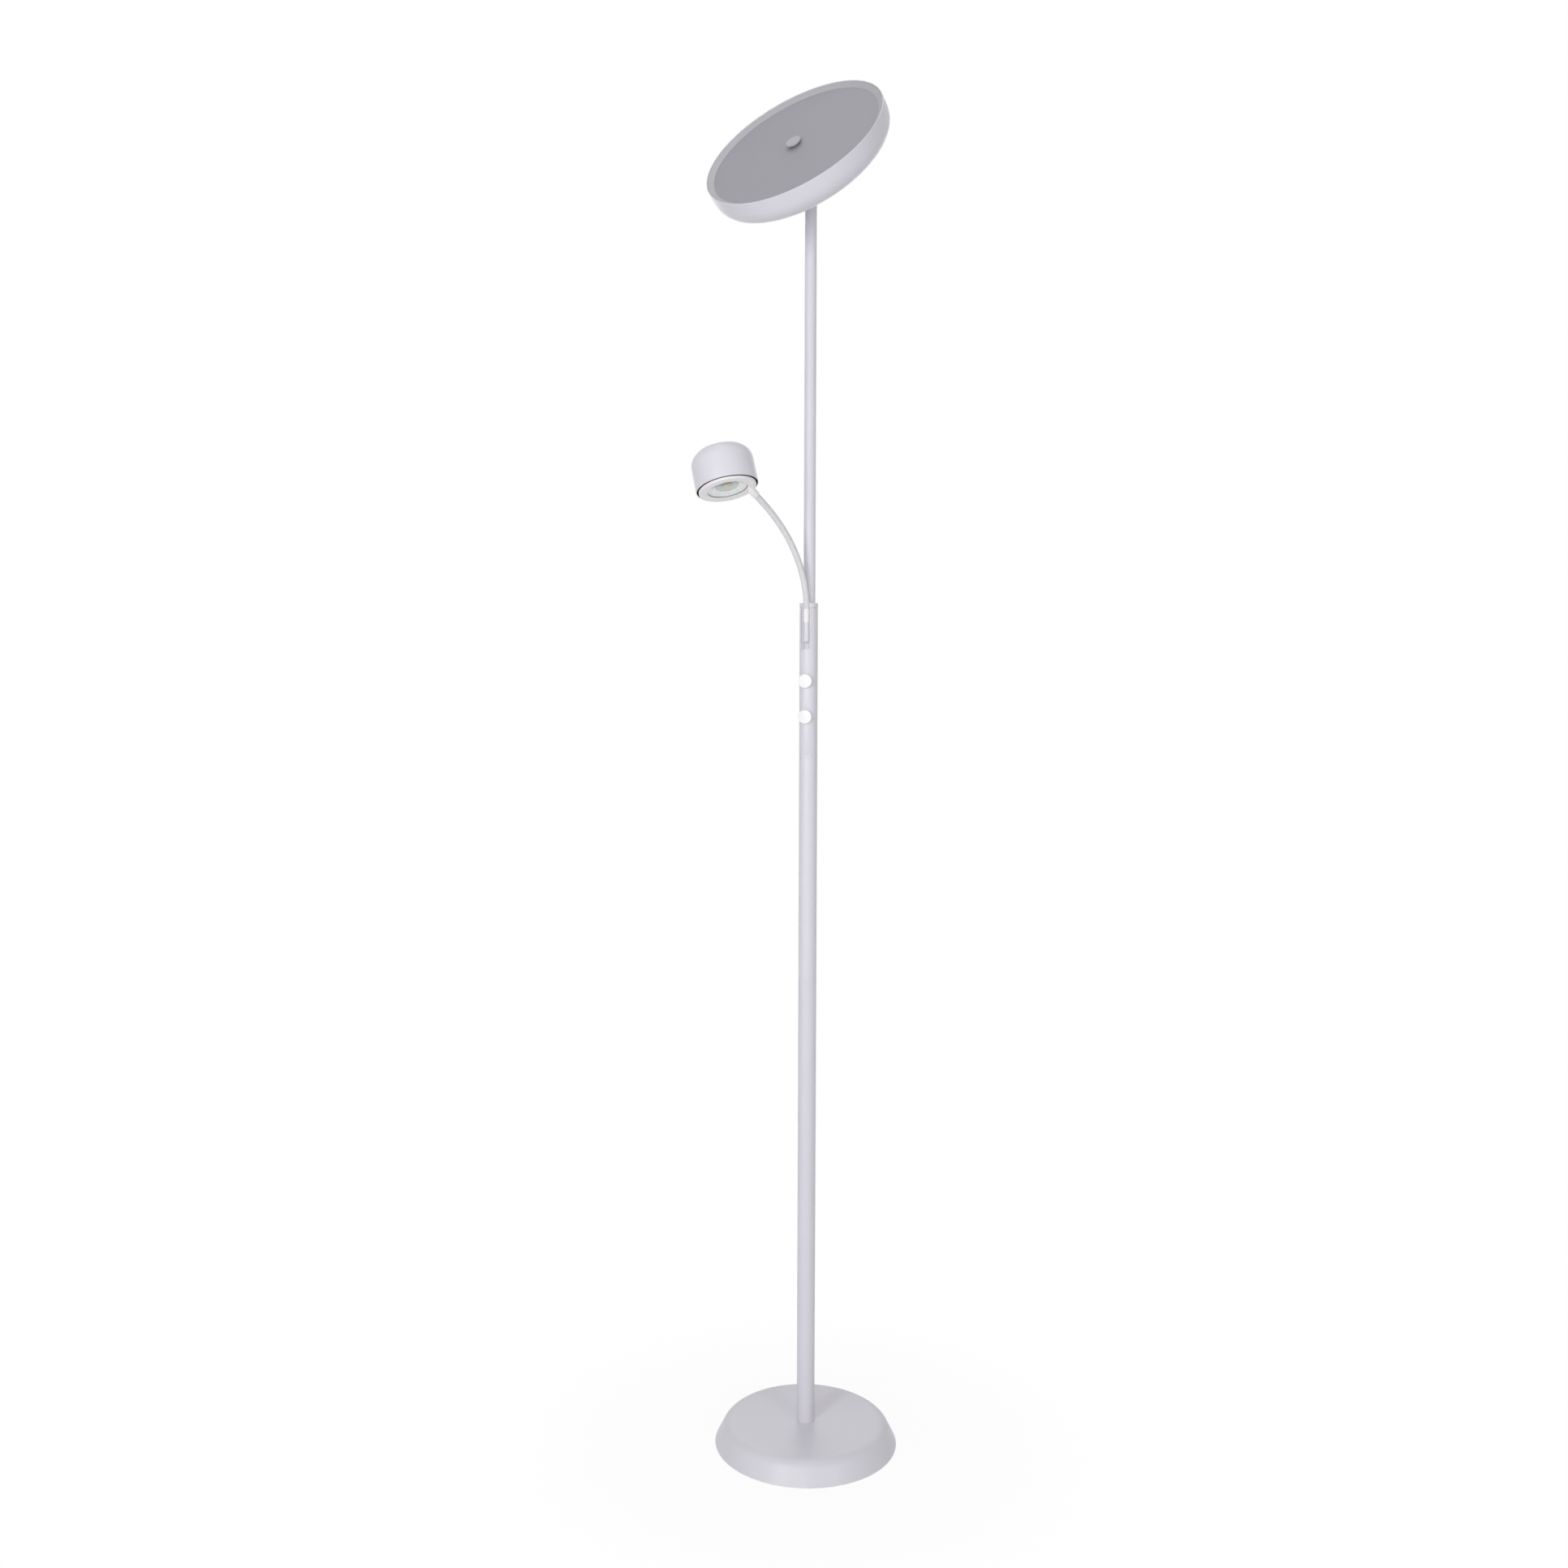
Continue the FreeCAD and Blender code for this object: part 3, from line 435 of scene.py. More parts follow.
def makeAdapter():
    # Fills the tube's slot but for a round groove, in which the ferrule stands.
    radius, foot, neck, top = poles["radius"], adapter["foot"], adapter["neck"], adapter["top"]
    fit = radius - poles["wall"] - poles["play"]
    body = turnedMesh([
        (0, foot), (fit, foot, adapter["footEdge"]), (fit, neck), (radius, neck, adapter["edge"]),
        (radius, top, adapter["topEdge"]), (0, top),
    ])
    piece = objectFrom("topAdapter", body)
    past, seat = adapter["past"], poles["slimFoot"]  # cutters go a little past what they cut
    well = rod(adapter["fit"], seat, top + past, sides=96)
    cutAway(piece, objectFrom("well", well, slimPlace))
    wireWay = rod(adapter["bore"], foot - past, seat + past, sides=64)
    cutAway(piece, objectFrom("wireWay", wireWay, slimPlace))

    groove, low, steps = adapter["groove"], adapter["grooveFoot"], adapter["grooveSteps"]
    section = [(-groove, -radius - past)]
    for step in range(steps + 1):
        angle = math.pi * step / steps
        section.append((-groove * math.cos(angle), groove * math.sin(angle) - adapter["grooveFront"]))
    section.append((groove, -radius - past))
    work = bmesh.new()
    face = work.faces.new([work.verts.new((x * mm, y * mm, low * mm)) for x, y in section])
    raised = bmesh.ops.extrude_face_region(work, geom=[face])["geom"]
    corners = [part for part in raised if isinstance(part, bmesh.types.BMVert)]
    bmesh.ops.translate(work, verts=corners, vec=(0, 0, (top + past - low) * mm))
    cutAway(piece, objectFrom("groove", work))
    dress(piece, "mouldedWhite", "stand", ["top_adapter"], sharp=30)


makePoles()
makeAdapter()
print("poles made")


# Ferrule in the slot

collar = {"bore": 4.22, "waist": 4.25, "radius": 4.6, "rings": 3, "pitch": 3.4, "edge": 0.5}
ferrule = {"radius": 4.05, "front": 10.0, "foot": 1130.3, "footEdge": 0.4, "seam": 1156.6, "seamEdge": 0.25,
           "gap": 0.3, "gapDeep": 0.35, "top": 1175.0, "topGap": 0.2, "topEdge": 0.3, "spigot": 3.3,
           "spigotLong": 6.0, "bore": 1.8}


def makeFerrule():
    place = Matrix.Translation((0, -ferrule["front"] * mm, 0))
    radius, bore, top, edge = ferrule["radius"], ferrule["bore"], ferrule["top"], ferrule["seamEdge"]
    low, high = ferrule["seam"] - ferrule["gap"], ferrule["seam"] + ferrule["gap"]
    lower = turnedMesh([(bore, ferrule["foot"]), (radius, ferrule["foot"], ferrule["footEdge"]),
                        (radius, low, edge), (bore, low)], sides=64)
    dress(objectFrom("ferruleLower", lower, place), "powderCoat", "stand", ["arm_ferrule"])
    waist, spigot = radius - ferrule["gapDeep"], ferrule["spigot"]
    shoulder, tip = top - ferrule["topGap"], top + ferrule["spigotLong"]
    upper = turnedMesh([
        (bore, low), (waist, low), (waist, high), (radius, high, edge),
        (radius, shoulder, ferrule["topEdge"]), (spigot, shoulder), (spigot, tip), (bore, tip),
    ], sides=64)
    dress(objectFrom("ferruleUpper", upper, place), "bezelWhite", "stand")

    # soft rings round the sleeve's end
    pitch, edge = collar["pitch"], collar["edge"]
    outline = [(collar["bore"], top), (collar["bore"], top + collar["rings"] * pitch)]
    for ring in reversed(range(collar["rings"])):
        foot = top + ring * pitch
        outline += [(collar["waist"], foot + pitch), (collar["radius"], foot + pitch - edge, edge / 2),
                    (collar["radius"], foot + edge, edge / 2), (collar["waist"], foot)]
    rings = turnedMesh(outline, sides=64)
    dress(objectFrom("sleeveCollar", rings, place), "sleeveWhite", "stand")


makeFerrule()


# Dimmer knobs

knob = {"radius": 9.5, "thick": 3.5, "edge": 0.7, "backEdge": 0.25, "shaft": 3.1, "socket": 2.2,
        "dimple": 0.8, "dimpleFloor": 0.48, "dimpleEdge": 0.1, "dimpleBelow": 6.0, "dimpleDeep": 0.4,
        "past": 0.1}


def makeKnob(name, node, body, joint):
    radius, thick, deep, past = knob["radius"], knob["thick"], knob["dimpleDeep"], knob["past"]
    cap = turnedMesh([(0, thick), (radius, thick, knob["edge"]), (radius, 0, knob["backEdge"]),
                      (knob["shaft"], 0), (knob["shaft"], knob["socket"]), (0, knob["socket"])], sides=96)
    place = Matrix.Translation(joints[joint]["pos_m"]) @ Matrix.Rotation(math.pi / 2, 4, "X")
    piece = objectFrom(name, cap, place)
    drill = turnedMesh([(0, -deep), (knob["dimpleFloor"], -deep, knob["dimpleEdge"]),
                        (knob["dimple"], past), (0, past)], sides=32)
    spot = place @ Matrix.Translation((0, -knob["dimpleBelow"] * mm, thick * mm))
    cutAway(piece, objectFrom(name + "Drill", drill, spot))
    dress(piece, "knobWhite", body, [node], sharp=30)


makeKnob("upperKnob", "upper_knob", "knob_upper", "upper_knob_turn")
makeKnob("lowerKnob", "lower_knob", "knob_lower", "lower_knob_turn")
print("ferrule and knobs made")


# Swivel and tilt joint

def makeTiltJoint():
    for name, node, finish, slot, body, edge in (
            ("poleSocket", "pole_socket", "powderCoat", "white_paint", "stand", 0.25),
            ("swivelFork", "swivel_fork", "powderCoat", "white_paint", "swivel", 0.4),
            ("tiltScrew", "tilt_screw", "zincPlate", "zinc_steel", "swivel", 0.3),
            ("tiltNut", "tilt_nut", "zincPlate", "zinc_steel", "swivel", 0.25),
            ("tiltBracket", "tilt_bracket", "powderCoat", "white_paint", "uplighter", 0.4)):
        dress(softenEdges(nodeCopy(name, node), edge), finish, body, [node], sharp=25)


makeTiltJoint()
print("tilt joint made")


# Uplighter, made with its pivot at the origin and its light going up

uplighter = {"tilt": 50.0, "rim": 57.2, "radius": 128.0, "depth": 42.9, "round": 26.8, "wall": 1.2,
             "lip": 0.4, "ringInner": 119.2, "ringDrop": 5.6, "ringRim": 0.8, "ringSkirt": 13.0,
             "ringEdge": 0.3, "play": 0.1, "disc": 121.8, "discThick": 2.0, "discHole": 3.1, "cap": 10.5,
             "capRise": 0.5, "capThick": 2.4, "capEdge": 0.8, "capFootEdge": 0.3, "capNeck": 4.5}


def hingePlace(joint, tilt):
    # Z turned by the tilt about the hinge, X along the hinge.
    hinge = Vector(joint["axis"]).normalized()
    upward = Matrix.Rotation(math.radians(tilt), 3, hinge) @ Vector((0, 0, 1))
    side = upward.cross(hinge)
    turned = Matrix((hinge, side, upward)).transposed().to_4x4()
    return Matrix.Translation(joint["pos_m"]) @ turned


def makeUplighter():
    place = hingePlace(joints["head_tilt"], uplighter["tilt"])
    rim, radius, wall, lip = uplighter["rim"], uplighter["radius"], uplighter["wall"], uplighter["lip"]
    back = rim - uplighter["depth"]
    shell = turnedMesh([
        (0, back), (radius, back, uplighter["round"]), (radius, rim, lip), (radius - wall, rim, lip),
        (radius - wall, back + wall, uplighter["round"] - wall), (0, back + wall),
    ], sides=192, arcStep=4)
    dress(objectFrom("headShell", shell, place), "powderCoat", "uplighter", ["head_shell"])

    outer, inner, edge = radius - wall - uplighter["play"], uplighter["ringInner"], uplighter["ringEdge"]
    skirt, discTop = rim - uplighter["ringSkirt"], rim - uplighter["ringDrop"]
    seat = uplighter["disc"] + uplighter["play"]
    ring = turnedMesh([
        (outer, skirt), (outer, rim - uplighter["ringRim"], edge), (inner, discTop + edge, edge),
        (inner, discTop), (seat, discTop), (seat, skirt),
    ], sides=192)
    # the diffuser ring in painted shade
    dress(objectFrom("diffuserRing", ring, place), "paintedShadeWhite", "uplighter",
          ["diffuser_ring"])

    disc, hole, discLow = uplighter["disc"], uplighter["discHole"], discTop - uplighter["discThick"]
    pane = turnedMesh([(hole, discLow), (disc, discLow), (disc, discTop), (hole, discTop)], sides=192)
    dress(objectFrom("opalDiffuser", pane, place), "opalDisc", "uplighter", ["diffuser"])

    # The cap stands off the disc on a neck.
    top, neck = rim + uplighter["capRise"], uplighter["capNeck"]
    foot = top - uplighter["capThick"]
    cap = turnedMesh([
        (0, top), (uplighter["cap"], top, uplighter["capEdge"]),
        (uplighter["cap"], foot, uplighter["capFootEdge"]), (neck, foot), (neck, discTop),
        (hole, discTop), (hole, foot), (0, foot),
    ], sides=96)
    # the cap in painted shade, like the ring
    dress(objectFrom("centreCap", cap, place), "paintedShadeWhite", "uplighter", ["centre_cap"])


makeUplighter()
print("uplighter made")


# Arm: one sleeve over a winding, cut at the middle of each length

arm = {"radius": 4.2, "length": 184.0, "lengths": 6, "leanFirst": 6.0, "leanLast": 58.2, "leanPower": 1.6,
       "foot": 11.0, "bossFloor": 6.0, "easing": 8.0, "step": 1 / 3, "sides": 40, "pitch": 2.0, "ridge": 0.10,
       "blendReach": 11.0}
armBodies = ["stand", "arm_1", "arm_2", "arm_3", "arm_4", "arm_5", "reading_light"]
armJoints = ["arm_bend_1", "arm_side_1", "arm_bend_2", "arm_bend_3", "arm_side_2", "arm_bend_4"]


def leanAt(length):
    # Lean from vertical, in degrees, at a length from the first joint, with an eased way out of the ferrule.
    def leanOf(part):
        return arm["leanFirst"] + (arm["leanLast"] - arm["leanFirst"]) * (1 - (1 - part) ** arm["leanPower"])

    if length < arm["easing"]:
        ease = min(max((length + arm["easing"]) / (2 * arm["easing"]), 0), 1)
        return ease * leanAt(arm["easing"])
    steps = length / arm["length"] * arm["lengths"]
    index = min(int(steps), arm["lengths"] - 1)
    first, second = leanOf(index / arm["lengths"]), leanOf((index + 1) / arm["lengths"])
    return first + (second - first) * (steps - index)


def armHeading(length):
    bendAxis = Vector(joints["arm_bend_1"]["axis"]).normalized()
    return Matrix.Rotation(math.radians(leanAt(length)), 3, bendAxis) @ Vector((0, 0, 1))


def armPath():
    # Points at even steps, from the sleeve's foot on the ferrule to the bezel.
    place = Vector(joints["arm_bend_1"]["pos_m"]) - Vector((0, 0, arm["foot"] * mm))
    points = [place.copy()]
    count = round((arm["foot"] + arm["length"] - arm["bossFloor"]) / arm["step"])
    for index in range(count):
        middle = (index + 0.5) * arm["step"] - arm["foot"]
        place += armHeading(middle) * (arm["step"] * mm)
        points.append(place.copy())
    return points


def curveFrom(name, points):
    curve = bpy.data.curves.new(name, "CURVE")
    curve.dimensions = "3D"
    spline = curve.splines.new("POLY")
    spline.points.add(len(points) - 1)
    for target, point in zip(spline.points, points):
        target.co = (*point, 1)
    thing = bpy.data.objects.new(name, curve)
    bpy.context.scene.collection.objects.link(thing)
    return thing


def newTree(name, floats, integers):
    # A tree with geometry, numbers and a finish in, and geometry out.
    tree = bpy.data.node_groups.new(name, "GeometryNodeTree")
    sockets = [("Geometry", "Geometry")] + [(label, "Float") for label in floats]
    sockets += [(label, "Int") for label in integers] + [("Finish", "Material")]
    for label, kind in sockets:
        tree.interface.new_socket(label, in_out="INPUT", socket_type="NodeSocket" + kind)
    tree.interface.new_socket("Geometry", in_out="OUTPUT", socket_type="NodeSocketGeometry")
    return tree, addNode(tree, "NodeGroupInput"), addNode(tree, "NodeGroupOutput")


def closeTree(tree, given, out, geometry, *steps):
    # The geometry made real, any other steps, and its finish.
    paint = addNode(tree, "GeometryNodeSetMaterial")
    tree.links.new(given.outputs["Finish"], paint.inputs["Material"])
    for step in (addNode(tree, "GeometryNodeRealizeInstances"), *steps, paint):
        tree.links.new(geometry, step.inputs["Geometry"])
        geometry = step.outputs["Geometry"]
    tree.links.new(geometry, out.inputs["Geometry"])
    return tree


def storeValue(tree, name, geometry, value):
    store = addNode(tree, "GeometryNodeStoreNamedAttribute", data_type="FLOAT", domain="POINT")
    store.inputs["Name"].default_value = name
    tree.links.new(geometry, store.inputs["Geometry"])
    tree.links.new(value, store.inputs["Value"])
    return store.outputs["Geometry"]


def storedValue(tree, name):
    stored = addNode(tree, "GeometryNodeInputNamedAttribute", data_type="FLOAT")
    stored.inputs["Name"].default_value = name
    return stored.outputs["Attribute"]


def sleeveTree():
    # Curve in, ribbed tube out: round ridges wind about it, with narrow grooves between.
    tree, given, out = newTree("sleeveWinding", ("Radius", "Ridge", "Pitch"), ("Sides",))
    calc = partial(addMath, tree)
    place = addNode(tree, "GeometryNodeSplineParameter")
    line = storeValue(tree, "along", given.outputs["Geometry"], place.outputs["Length"])
    circle = addNode(tree, "GeometryNodeCurvePrimitiveCircle", mode="RADIUS")
    tree.links.new(given.outputs["Sides"], circle.inputs["Resolution"])
    tree.links.new(given.outputs["Radius"], circle.inputs["Radius"])
    turn = addNode(tree, "GeometryNodeSplineParameter")
    profile = storeValue(tree, "around", circle.outputs["Curve"], turn.outputs["Factor"])
    sweep = addNode(tree, "GeometryNodeCurveToMesh")
    tree.links.new(line, sweep.inputs["Curve"])
    tree.links.new(profile, sweep.inputs["Profile Curve"])

    turns = calc("DIVIDE", storedValue(tree, "along"), given.outputs["Pitch"])
    phase = calc("ADD", turns, storedValue(tree, "around"))
    hump = calc("ABSOLUTE", calc("COSINE", calc("MULTIPLY", phase, math.pi)))
    depth = calc("MULTIPLY", calc("SUBTRACT", hump, 1), given.outputs["Ridge"])
    normal = addNode(tree, "GeometryNodeInputNormal")
    push = addNode(tree, "ShaderNodeVectorMath", operation="SCALE")
    tree.links.new(normal.outputs["Normal"], push.inputs[0])
    tree.links.new(depth, push.inputs["Scale"])
    move = addNode(tree, "GeometryNodeSetPosition")
    tree.links.new(sweep.outputs["Mesh"], move.inputs["Geometry"])
    tree.links.new(push.outputs["Vector"], move.inputs["Offset"])
    return closeTree(tree, given, out, move.outputs["Geometry"])


def growMesh(name, seedObject, tree, values):
    # Runs a tree on an object and keeps the plain mesh.
    modifier = seedObject.modifiers.new("grow", "NODES")
    modifier.node_group = tree
    for item in tree.interface.items_tree:
        if item.item_type == "SOCKET" and item.in_out == "INPUT" and item.name in values:
            modifier[item.identifier] = values[item.name]
    graph = bpy.context.evaluated_depsgraph_get()
    mesh = bpy.data.meshes.new_from_object(seedObject.evaluated_get(graph))
    mesh.name = name
    seedObject.modifiers.clear()
    bpy.data.objects.remove(seedObject)
    return mesh


def makeArm():
    whole = growMesh("armSleeve", curveFrom("armLine", armPath()), sleeveTree(), {
        "Radius": arm["radius"] * mm, "Ridge": arm["ridge"] * mm, "Pitch": arm["pitch"] * mm,
        "Sides": arm["sides"], "Finish": finishes["sleeveWhite"]})
    each = arm["length"] / arm["lengths"]
    end = arm["foot"] + arm["length"] - arm["bossFloor"]
    cuts = [0] + [arm["foot"] + each * (i + 0.5) for i in range(arm["lengths"] - 1)] + [end]
    for index, jointName in enumerate(armJoints):
        work = bmesh.new()
        work.from_mesh(whole)
        along = work.verts.layers.float["along"]
        slack = arm["step"] * mm / 2
        low, high = cuts[index] * mm - slack, cuts[index + 1] * mm + slack
        spare = [point for point in work.verts if not low < point[along] < high]
        bmesh.ops.delete(work, geom=spare, context="VERTS")
        bmesh.ops.holes_fill(work, edges=[edge for edge in work.edges if edge.is_boundary], sides=0)
        number = str(index + 1)
        piece = objectFrom("armSleeve" + number, work)
        dress(piece, "sleeveWhite", None, ["arm_link_" + number], sharp=50)
        centre = Vector(joints[jointName]["pos_m"])
        reach = armHeading(each * index) * (arm["blendReach"] * mm)
        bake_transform(piece, armBodies[index], armBodies[index + 1], start=centre - reach, end=centre + reach)
    bpy.data.meshes.remove(whole)


makeArm()
print("arm made")


# Reading light, made with the middle of its rim at the origin and its light going down

reading = {"lean": 18.6, "turn": 122.3, "radius": 41.0, "height": 52.5, "round": 20.0, "wall": 1.0,
           "lip": 0.3, "looksDown": 0.5, "darkFrom": -0.1, "bezelEdge": 0.3, "cover": 34.1,
           "coverMiddle": -1.1, "coverThick": 1.0, "coverEdge": 0.15, "mouth": 26.2, "throat": 15.5,
           "bowlLow": -0.6, "bowlHigh": 2.8, "bowlWall": 1.6, "bowlFloor": 1.0, "bowlSteps": 8,
           "flutes": 60, "fluteDepth": 0.9, "fluteFade": 1.2, "fluteSteps": 6, "fluteMerge": 0.01,
           "chip": 6.5, "chipThick": 0.6, "chipEdge": 0.2}


def readingPlace():
    turned = (Matrix.Rotation(math.radians(-reading["turn"]), 4, "Z")
              @ Matrix.Rotation(math.radians(reading["lean"]), 4, "X"))
    upward = turned @ Vector((0, 0, 1))
    middle = boxCentre("clear_cover") - upward * (reading["coverMiddle"] * mm)
    return Matrix.Translation(middle) @ turned


def fluteTree():
    # One flute of the reflector from a flat grid, then set round the axis.
    tree, given, out = newTree("reflectorFlutes", ("Mouth", "Throat", "Low", "High", "Depth"),
                               ("Flutes", "Across", "Up"))
    calc = partial(addMath, tree)
    value = given.outputs
    grid = addNode(tree, "GeometryNodeMeshGrid")
    grid.inputs["Size X"].default_value = 1
    grid.inputs["Size Y"].default_value = 1
    tree.links.new(value["Across"], grid.inputs["Vertices X"])
    tree.links.new(value["Up"], grid.inputs["Vertices Y"])
    position = addNode(tree, "GeometryNodeInputPosition")
    parts = addNode(tree, "ShaderNodeSeparateXYZ")
    tree.links.new(position.outputs[0], parts.inputs[0])
    across, share = parts.outputs["X"], calc("ADD", parts.outputs["Y"], 0.5)
    span = calc("SUBTRACT", value["Mouth"], value["Throat"])
    bowl = calc("ADD", calc("MULTIPLY", calc("SQRT", calc("SUBTRACT", 1, share)), span), value["Throat"])
    hump = calc("COSINE", calc("MULTIPLY", across, math.pi))
    fade = calc("SUBTRACT", reading["fluteFade"], share)
    radius = calc("SUBTRACT", bowl, calc("MULTIPLY", calc("MULTIPLY", hump, value["Depth"]), fade))
    angle = calc("DIVIDE", calc("MULTIPLY", across, 2 * math.pi), value["Flutes"])
    rise = calc("MULTIPLY", share, calc("SUBTRACT", value["High"], value["Low"]))
    place = addNode(tree, "ShaderNodeCombineXYZ")
    tree.links.new(calc("MULTIPLY", radius, calc("COSINE", angle)), place.inputs["X"])
    tree.links.new(calc("MULTIPLY", radius, calc("SINE", angle)), place.inputs["Y"])
    tree.links.new(calc("ADD", rise, value["Low"]), place.inputs["Z"])
    shape = addNode(tree, "GeometryNodeSetPosition")
    tree.links.new(grid.outputs["Mesh"], shape.inputs["Geometry"])
    tree.links.new(place.outputs[0], shape.inputs["Position"])

    spots = addNode(tree, "GeometryNodePoints")
    tree.links.new(value["Flutes"], spots.inputs["Count"])
    index = addNode(tree, "GeometryNodeInputIndex")
    turn = addNode(tree, "ShaderNodeCombineXYZ")
    step = calc("DIVIDE", 2 * math.pi, value["Flutes"])
    tree.links.new(calc("MULTIPLY", index.outputs[0], step), turn.inputs["Z"])
    spread = addNode(tree, "GeometryNodeInstanceOnPoints")
    tree.links.new(spots.outputs[0], spread.inputs["Points"])
    tree.links.new(shape.outputs["Geometry"], spread.inputs["Instance"])
    tree.links.new(turn.outputs[0], spread.inputs["Rotation"])
    merge = addNode(tree, "GeometryNodeMergeByDistance")
    merge.inputs["Distance"].default_value = reading["fluteMerge"] * mm
    return closeTree(tree, given, out, spread.outputs["Instances"], merge)


def paintFaces(piece, finish, place, chosen):
    # A second finish, for painted shade, on the faces whose middle and normal, seen from the place, are
    # chosen.
    piece.data.materials.append(finishes[finish])
    back = place.inverted()
    for face in piece.data.polygons:
        if chosen(back @ face.center, back.to_3x3() @ face.normal):
            face.material_index = 1


def makeReflector(place):
    seed = bpy.data.objects.new("fluteSeed", bpy.data.meshes.new("fluteSeed"))
    bpy.context.scene.collection.objects.link(seed)
    mesh = growMesh("reflectorFlutes", seed, fluteTree(), {
        "Mouth": reading["mouth"] * mm, "Throat": reading["throat"] * mm, "Low": reading["bowlLow"] * mm,
        "High": reading["bowlHigh"] * mm, "Depth": reading["fluteDepth"] * mm, "Flutes": reading["flutes"],
        "Across": reading["fluteSteps"] + 1, "Up": reading["bowlSteps"] + 1,
        "Finish": finishes["brightMirror"]})
    work = bmesh.new()
    work.from_mesh(mesh)
    skin = bmesh.ops.extrude_face_region(work, geom=work.faces[:])
    for vertex in (part for part in skin["geom"] if isinstance(part, bmesh.types.BMVert)):
        outward = Vector((vertex.co.x, vertex.co.y, 0)).normalized()
        vertex.co += outward * (reading["bowlWall"] * mm)
    piece = objectFrom("reflector", work, place)
    dress(piece, "brightMirror", "reading_light", ["reflector"], sharp=28)

    def inGroove(middle, normal):
        part = math.atan2(middle.y, middle.x) / (2 * math.pi) * reading["flutes"] % 1
        return abs(part - 0.5) < 1 / reading["fluteSteps"]

    # painted shade in the grooves between the flutes
    paintFaces(piece, "mirrorPaintedShade", place, inGroove)
    # the reflector's floor, in painted shade
    high = reading["bowlHigh"]
    floor = rod(reading["throat"] + reading["bowlWall"], high, high + reading["bowlFloor"], sides=96)
    dress(objectFrom("reflectorFloor", floor, place), "mirrorPaintedShade", "reading_light")


def makeReadingShell(place):
    radius, wall, top, lip = reading["radius"], reading["wall"], reading["height"], reading["lip"]
    shell = turnedMesh([
        (0, top), (radius, top, reading["round"]), (radius, 0, lip), (radius - wall, 0, lip),
        (radius - wall, top - wall, reading["round"] - wall), (0, top - wall),
    ], sides=160, arcStep=4)
    piece = objectFrom("readingShell", shell, place)
    dress(piece, "powderCoat", "reading_light", ["reading_shell"])

    def inside(middle, normal):
        # the wall's inner side and the ceiling, whose faces look down: these get the painted shade
        within = math.hypot(middle.x, middle.y) < (radius - wall / 2) * mm
        inward = normal.x * middle.x + normal.y * middle.y < 0 or normal.z < -reading["looksDown"]
        return within and inward and lip * mm < middle.z < (top - wall / 2) * mm

    # painted shade: the shell's inner faces near-black, for the shadow in the gap round the bezel
    paintFaces(piece, "paintedShadeBlack", place, inside)


def makeBezel(place):
    # Its side is painted with shade from the shell's rim up, for the shadow in the gap there.
    bezel = softenEdges(nodeCopy("bezel_ring", "bezel"), reading["bezelEdge"])
    rimPlane = place @ Matrix.Translation((0, 0, reading["darkFrom"] * mm))
    work = bmesh.new()
    work.from_mesh(bezel.data)
    bmesh.ops.bisect_plane(work, geom=work.verts[:] + work.edges[:] + work.faces[:], dist=tiny,
                           plane_co=rimPlane.to_translation(), plane_no=rimPlane.col[2].to_3d())
    work.to_mesh(bezel.data)
    work.free()
    dress(bezel, "bezelWhite", "reading_light", ["bezel"], sharp=35)

    def shaded(middle, normal):
        return middle.z > reading["darkFrom"] * mm and normal.x * middle.x + normal.y * middle.y > 0

    # painted shade on the bezel's outer side above the rim
    paintFaces(bezel, "paintedShadeBlack", place, shaded)


def makeReadingLight():
    place = readingPlace()
    makeReadingShell(place)
    makeBezel(place)
    cover, edge = reading["cover"], reading["coverEdge"]
    low = reading["coverMiddle"] - reading["coverThick"] / 2
    high = low + reading["coverThick"]
    pane = turnedMesh([(0, low), (cover, low, edge), (cover, high, edge), (0, high)], sides=96)
    dress(objectFrom("clearCover", pane, place), "clearPane", "reading_light", ["clear_cover"])

    seat = reading["bowlHigh"]
    face = seat - reading["chipThick"]
    chip = turnedMesh([(0, seat), (reading["chip"], seat), (reading["chip"], face, reading["chipEdge"]),
                       (0, face)], sides=64)
    dress(objectFrom("lightChip", chip, place), "phosphor", "reading_light", ["light_chip"])
    makeReflector(place)


makeReadingLight()
print("reading light made")


# Floor, light and camera

studio = {"floorWide": 60.0, "floorColour": (0.95, 0.95, 0.96), "floorRoughness": 0.9, "floorSpecular": 0.1,
          "fill": 0.35, "fillColour": (0.97, 0.97, 1), "glow": 0.93, "shadowNear": 0.13, "shadowFar": 0.5}


def cameraShare(tree):
    # 1 for rays that should see the plain background.
    path = addNode(tree, "ShaderNodeLightPath")
    seen = addMath(tree, "MAXIMUM", path.outputs["Is Camera Ray"], path.outputs["Is Glossy Ray"])
    return addMath(tree, "MAXIMUM", seen, path.outputs["Is Transmission Ray"])


def mixTo(tree, output, share, first, second):
    mixed = addNode(tree, "ShaderNodeMixShader")
    for socket, given in zip(mixed.inputs, (share, first.outputs[0], second.outputs[0])):
        tree.links.new(given, socket)
    tree.links.new(mixed.outputs[0], tree.nodes[output].inputs["Surface"])


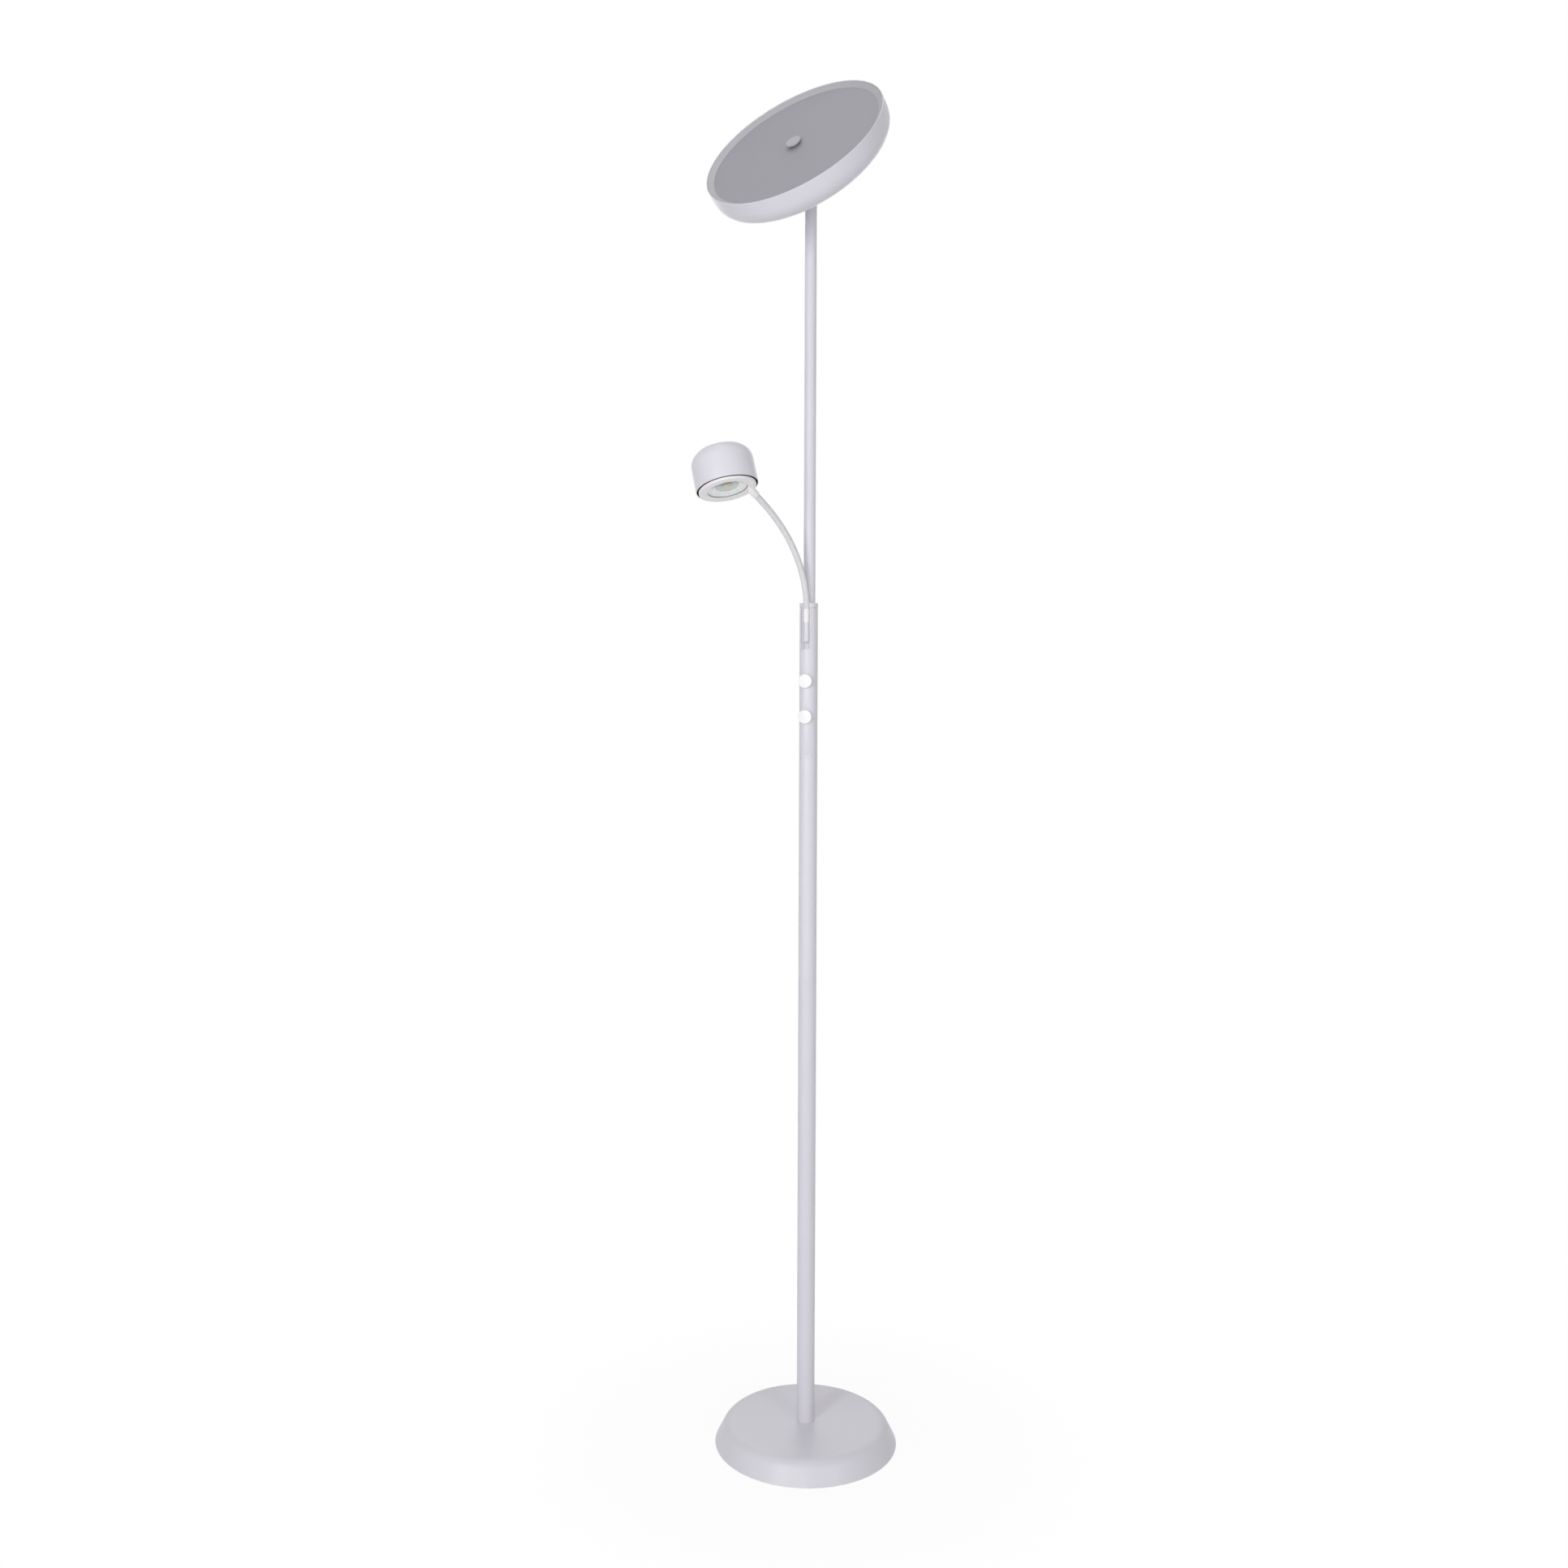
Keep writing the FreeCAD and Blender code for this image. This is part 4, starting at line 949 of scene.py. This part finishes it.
def makeFloor():
    half = studio["floorWide"] / 2
    work = bmesh.new()
    corners = (-half, -half), (half, -half), (half, half), (-half, half)
    work.faces.new([work.verts.new((x, y, 0)) for x, y in corners])
    floor = objectFrom("studioFloor", work)
    material = bpy.data.materials.new("paleFloor")
    material.use_nodes = True
    tree = material.node_tree
    shader = tree.nodes["Principled BSDF"]
    shader.inputs["Base Color"].default_value = (*studio["floorColour"], 1)
    shader.inputs["Roughness"].default_value = studio["floorRoughness"]
    shader.inputs["Specular IOR Level"].default_value = studio["floorSpecular"]
    coords = addNode(tree, "ShaderNodeTexCoord")
    distance = addNode(tree, "ShaderNodeVectorMath", operation="LENGTH")
    fade = addNode(tree, "ShaderNodeMapRange", clamp=True, interpolation_type="SMOOTHSTEP")
    fade.inputs["From Min"].default_value = studio["shadowNear"]
    fade.inputs["From Max"].default_value = studio["shadowFar"]
    fade.inputs["To Min"].default_value = studio["glow"]
    tree.links.new(coords.outputs["Object"], distance.inputs[0])
    tree.links.new(distance.outputs["Value"], fade.inputs["Value"])
    share = addMath(tree, "MULTIPLY", cameraShare(tree), fade.outputs["Result"])
    mixTo(tree, "Material Output", share, shader, addNode(tree, "ShaderNodeEmission"))
    floor.data.materials.append(material)


def makeWorld():
    world = bpy.data.worlds.new("studioWorld")
    bpy.context.scene.world = world
    world.use_nodes = True
    tree = world.node_tree
    fill = tree.nodes["Background"]
    fill.inputs["Color"].default_value = (*studio["fillColour"], 1)
    fill.inputs["Strength"].default_value = studio["fill"]
    white = addNode(tree, "ShaderNodeBackground")
    white.inputs["Color"].default_value = (1, 1, 1, 1)
    white.inputs["Strength"].default_value = 1
    mixTo(tree, "World Output", cameraShare(tree), fill, white)


softboxes = [
    # name, azimuth from the front, height, distance, width, tall, watts, height aimed at
    ("leftBox", -12, 1.5, 2.6, 0.5, 1.8, 19.6, 0.9),
    ("frontBox", 12, 1.5, 2.6, 0.6, 1.8, 13.0, 0.9),
    ("rightBox", 52, 1.5, 2.6, 0.5, 1.8, 8.8, 0.9),
    ("topBox", 0, 3.6, 0.05, 1.6, 1.6, 8.2, 0.9),
    ("backBox", 198, 2.0, 2.6, 3.0, 1.2, 12.0, 0.9),
]


def makeSoftboxes():
    for name, azimuth, height, distance, wide, tall, watts, aim in softboxes:
        light = bpy.data.lights.new(name, "AREA")
        light.shape = "RECTANGLE"
        light.size = wide
        light.size_y = tall
        light.energy = watts
        angle = math.radians(azimuth)
        place = Vector((math.sin(angle) * distance, -math.cos(angle) * distance, height))
        lamp = bpy.data.objects.new(name, light)
        lamp.location = place
        lamp.rotation_euler = (Vector((0, 0, aim)) - place).to_track_quat("-Z", "Y").to_euler()
        bpy.context.scene.collection.objects.link(lamp)


view = {"place": (0.6405, -1.9643, 1.0912), "turn": 20.0, "drop": 4.31, "roll": 0.086, "lens": 34.576,
        "sensor": 36.0, "shift": 0.01708, "near": 0.05}


def makeCamera():
    data = bpy.data.cameras.new("photoView")
    data.sensor_fit = "HORIZONTAL"
    data.sensor_width = view["sensor"]
    data.lens = view["lens"]
    data.shift_x = view["shift"]
    data.clip_start = view["near"]
    data.dof.use_dof = False
    camera = bpy.data.objects.new("photoView", data)
    turned = (Matrix.Rotation(math.radians(view["turn"]), 4, "Z")
              @ Matrix.Rotation(math.radians(90 - view["drop"]), 4, "X")
              @ Matrix.Rotation(math.radians(view["roll"]), 4, "Z"))
    camera.matrix_world = Matrix.Translation(view["place"]) @ turned
    bpy.context.scene.collection.objects.link(camera)
    bpy.context.scene.camera = camera


makeFloor()
makeWorld()
makeSoftboxes()
makeCamera()
bpy.context.scene.view_settings.view_transform = "Standard"
print("studio made")
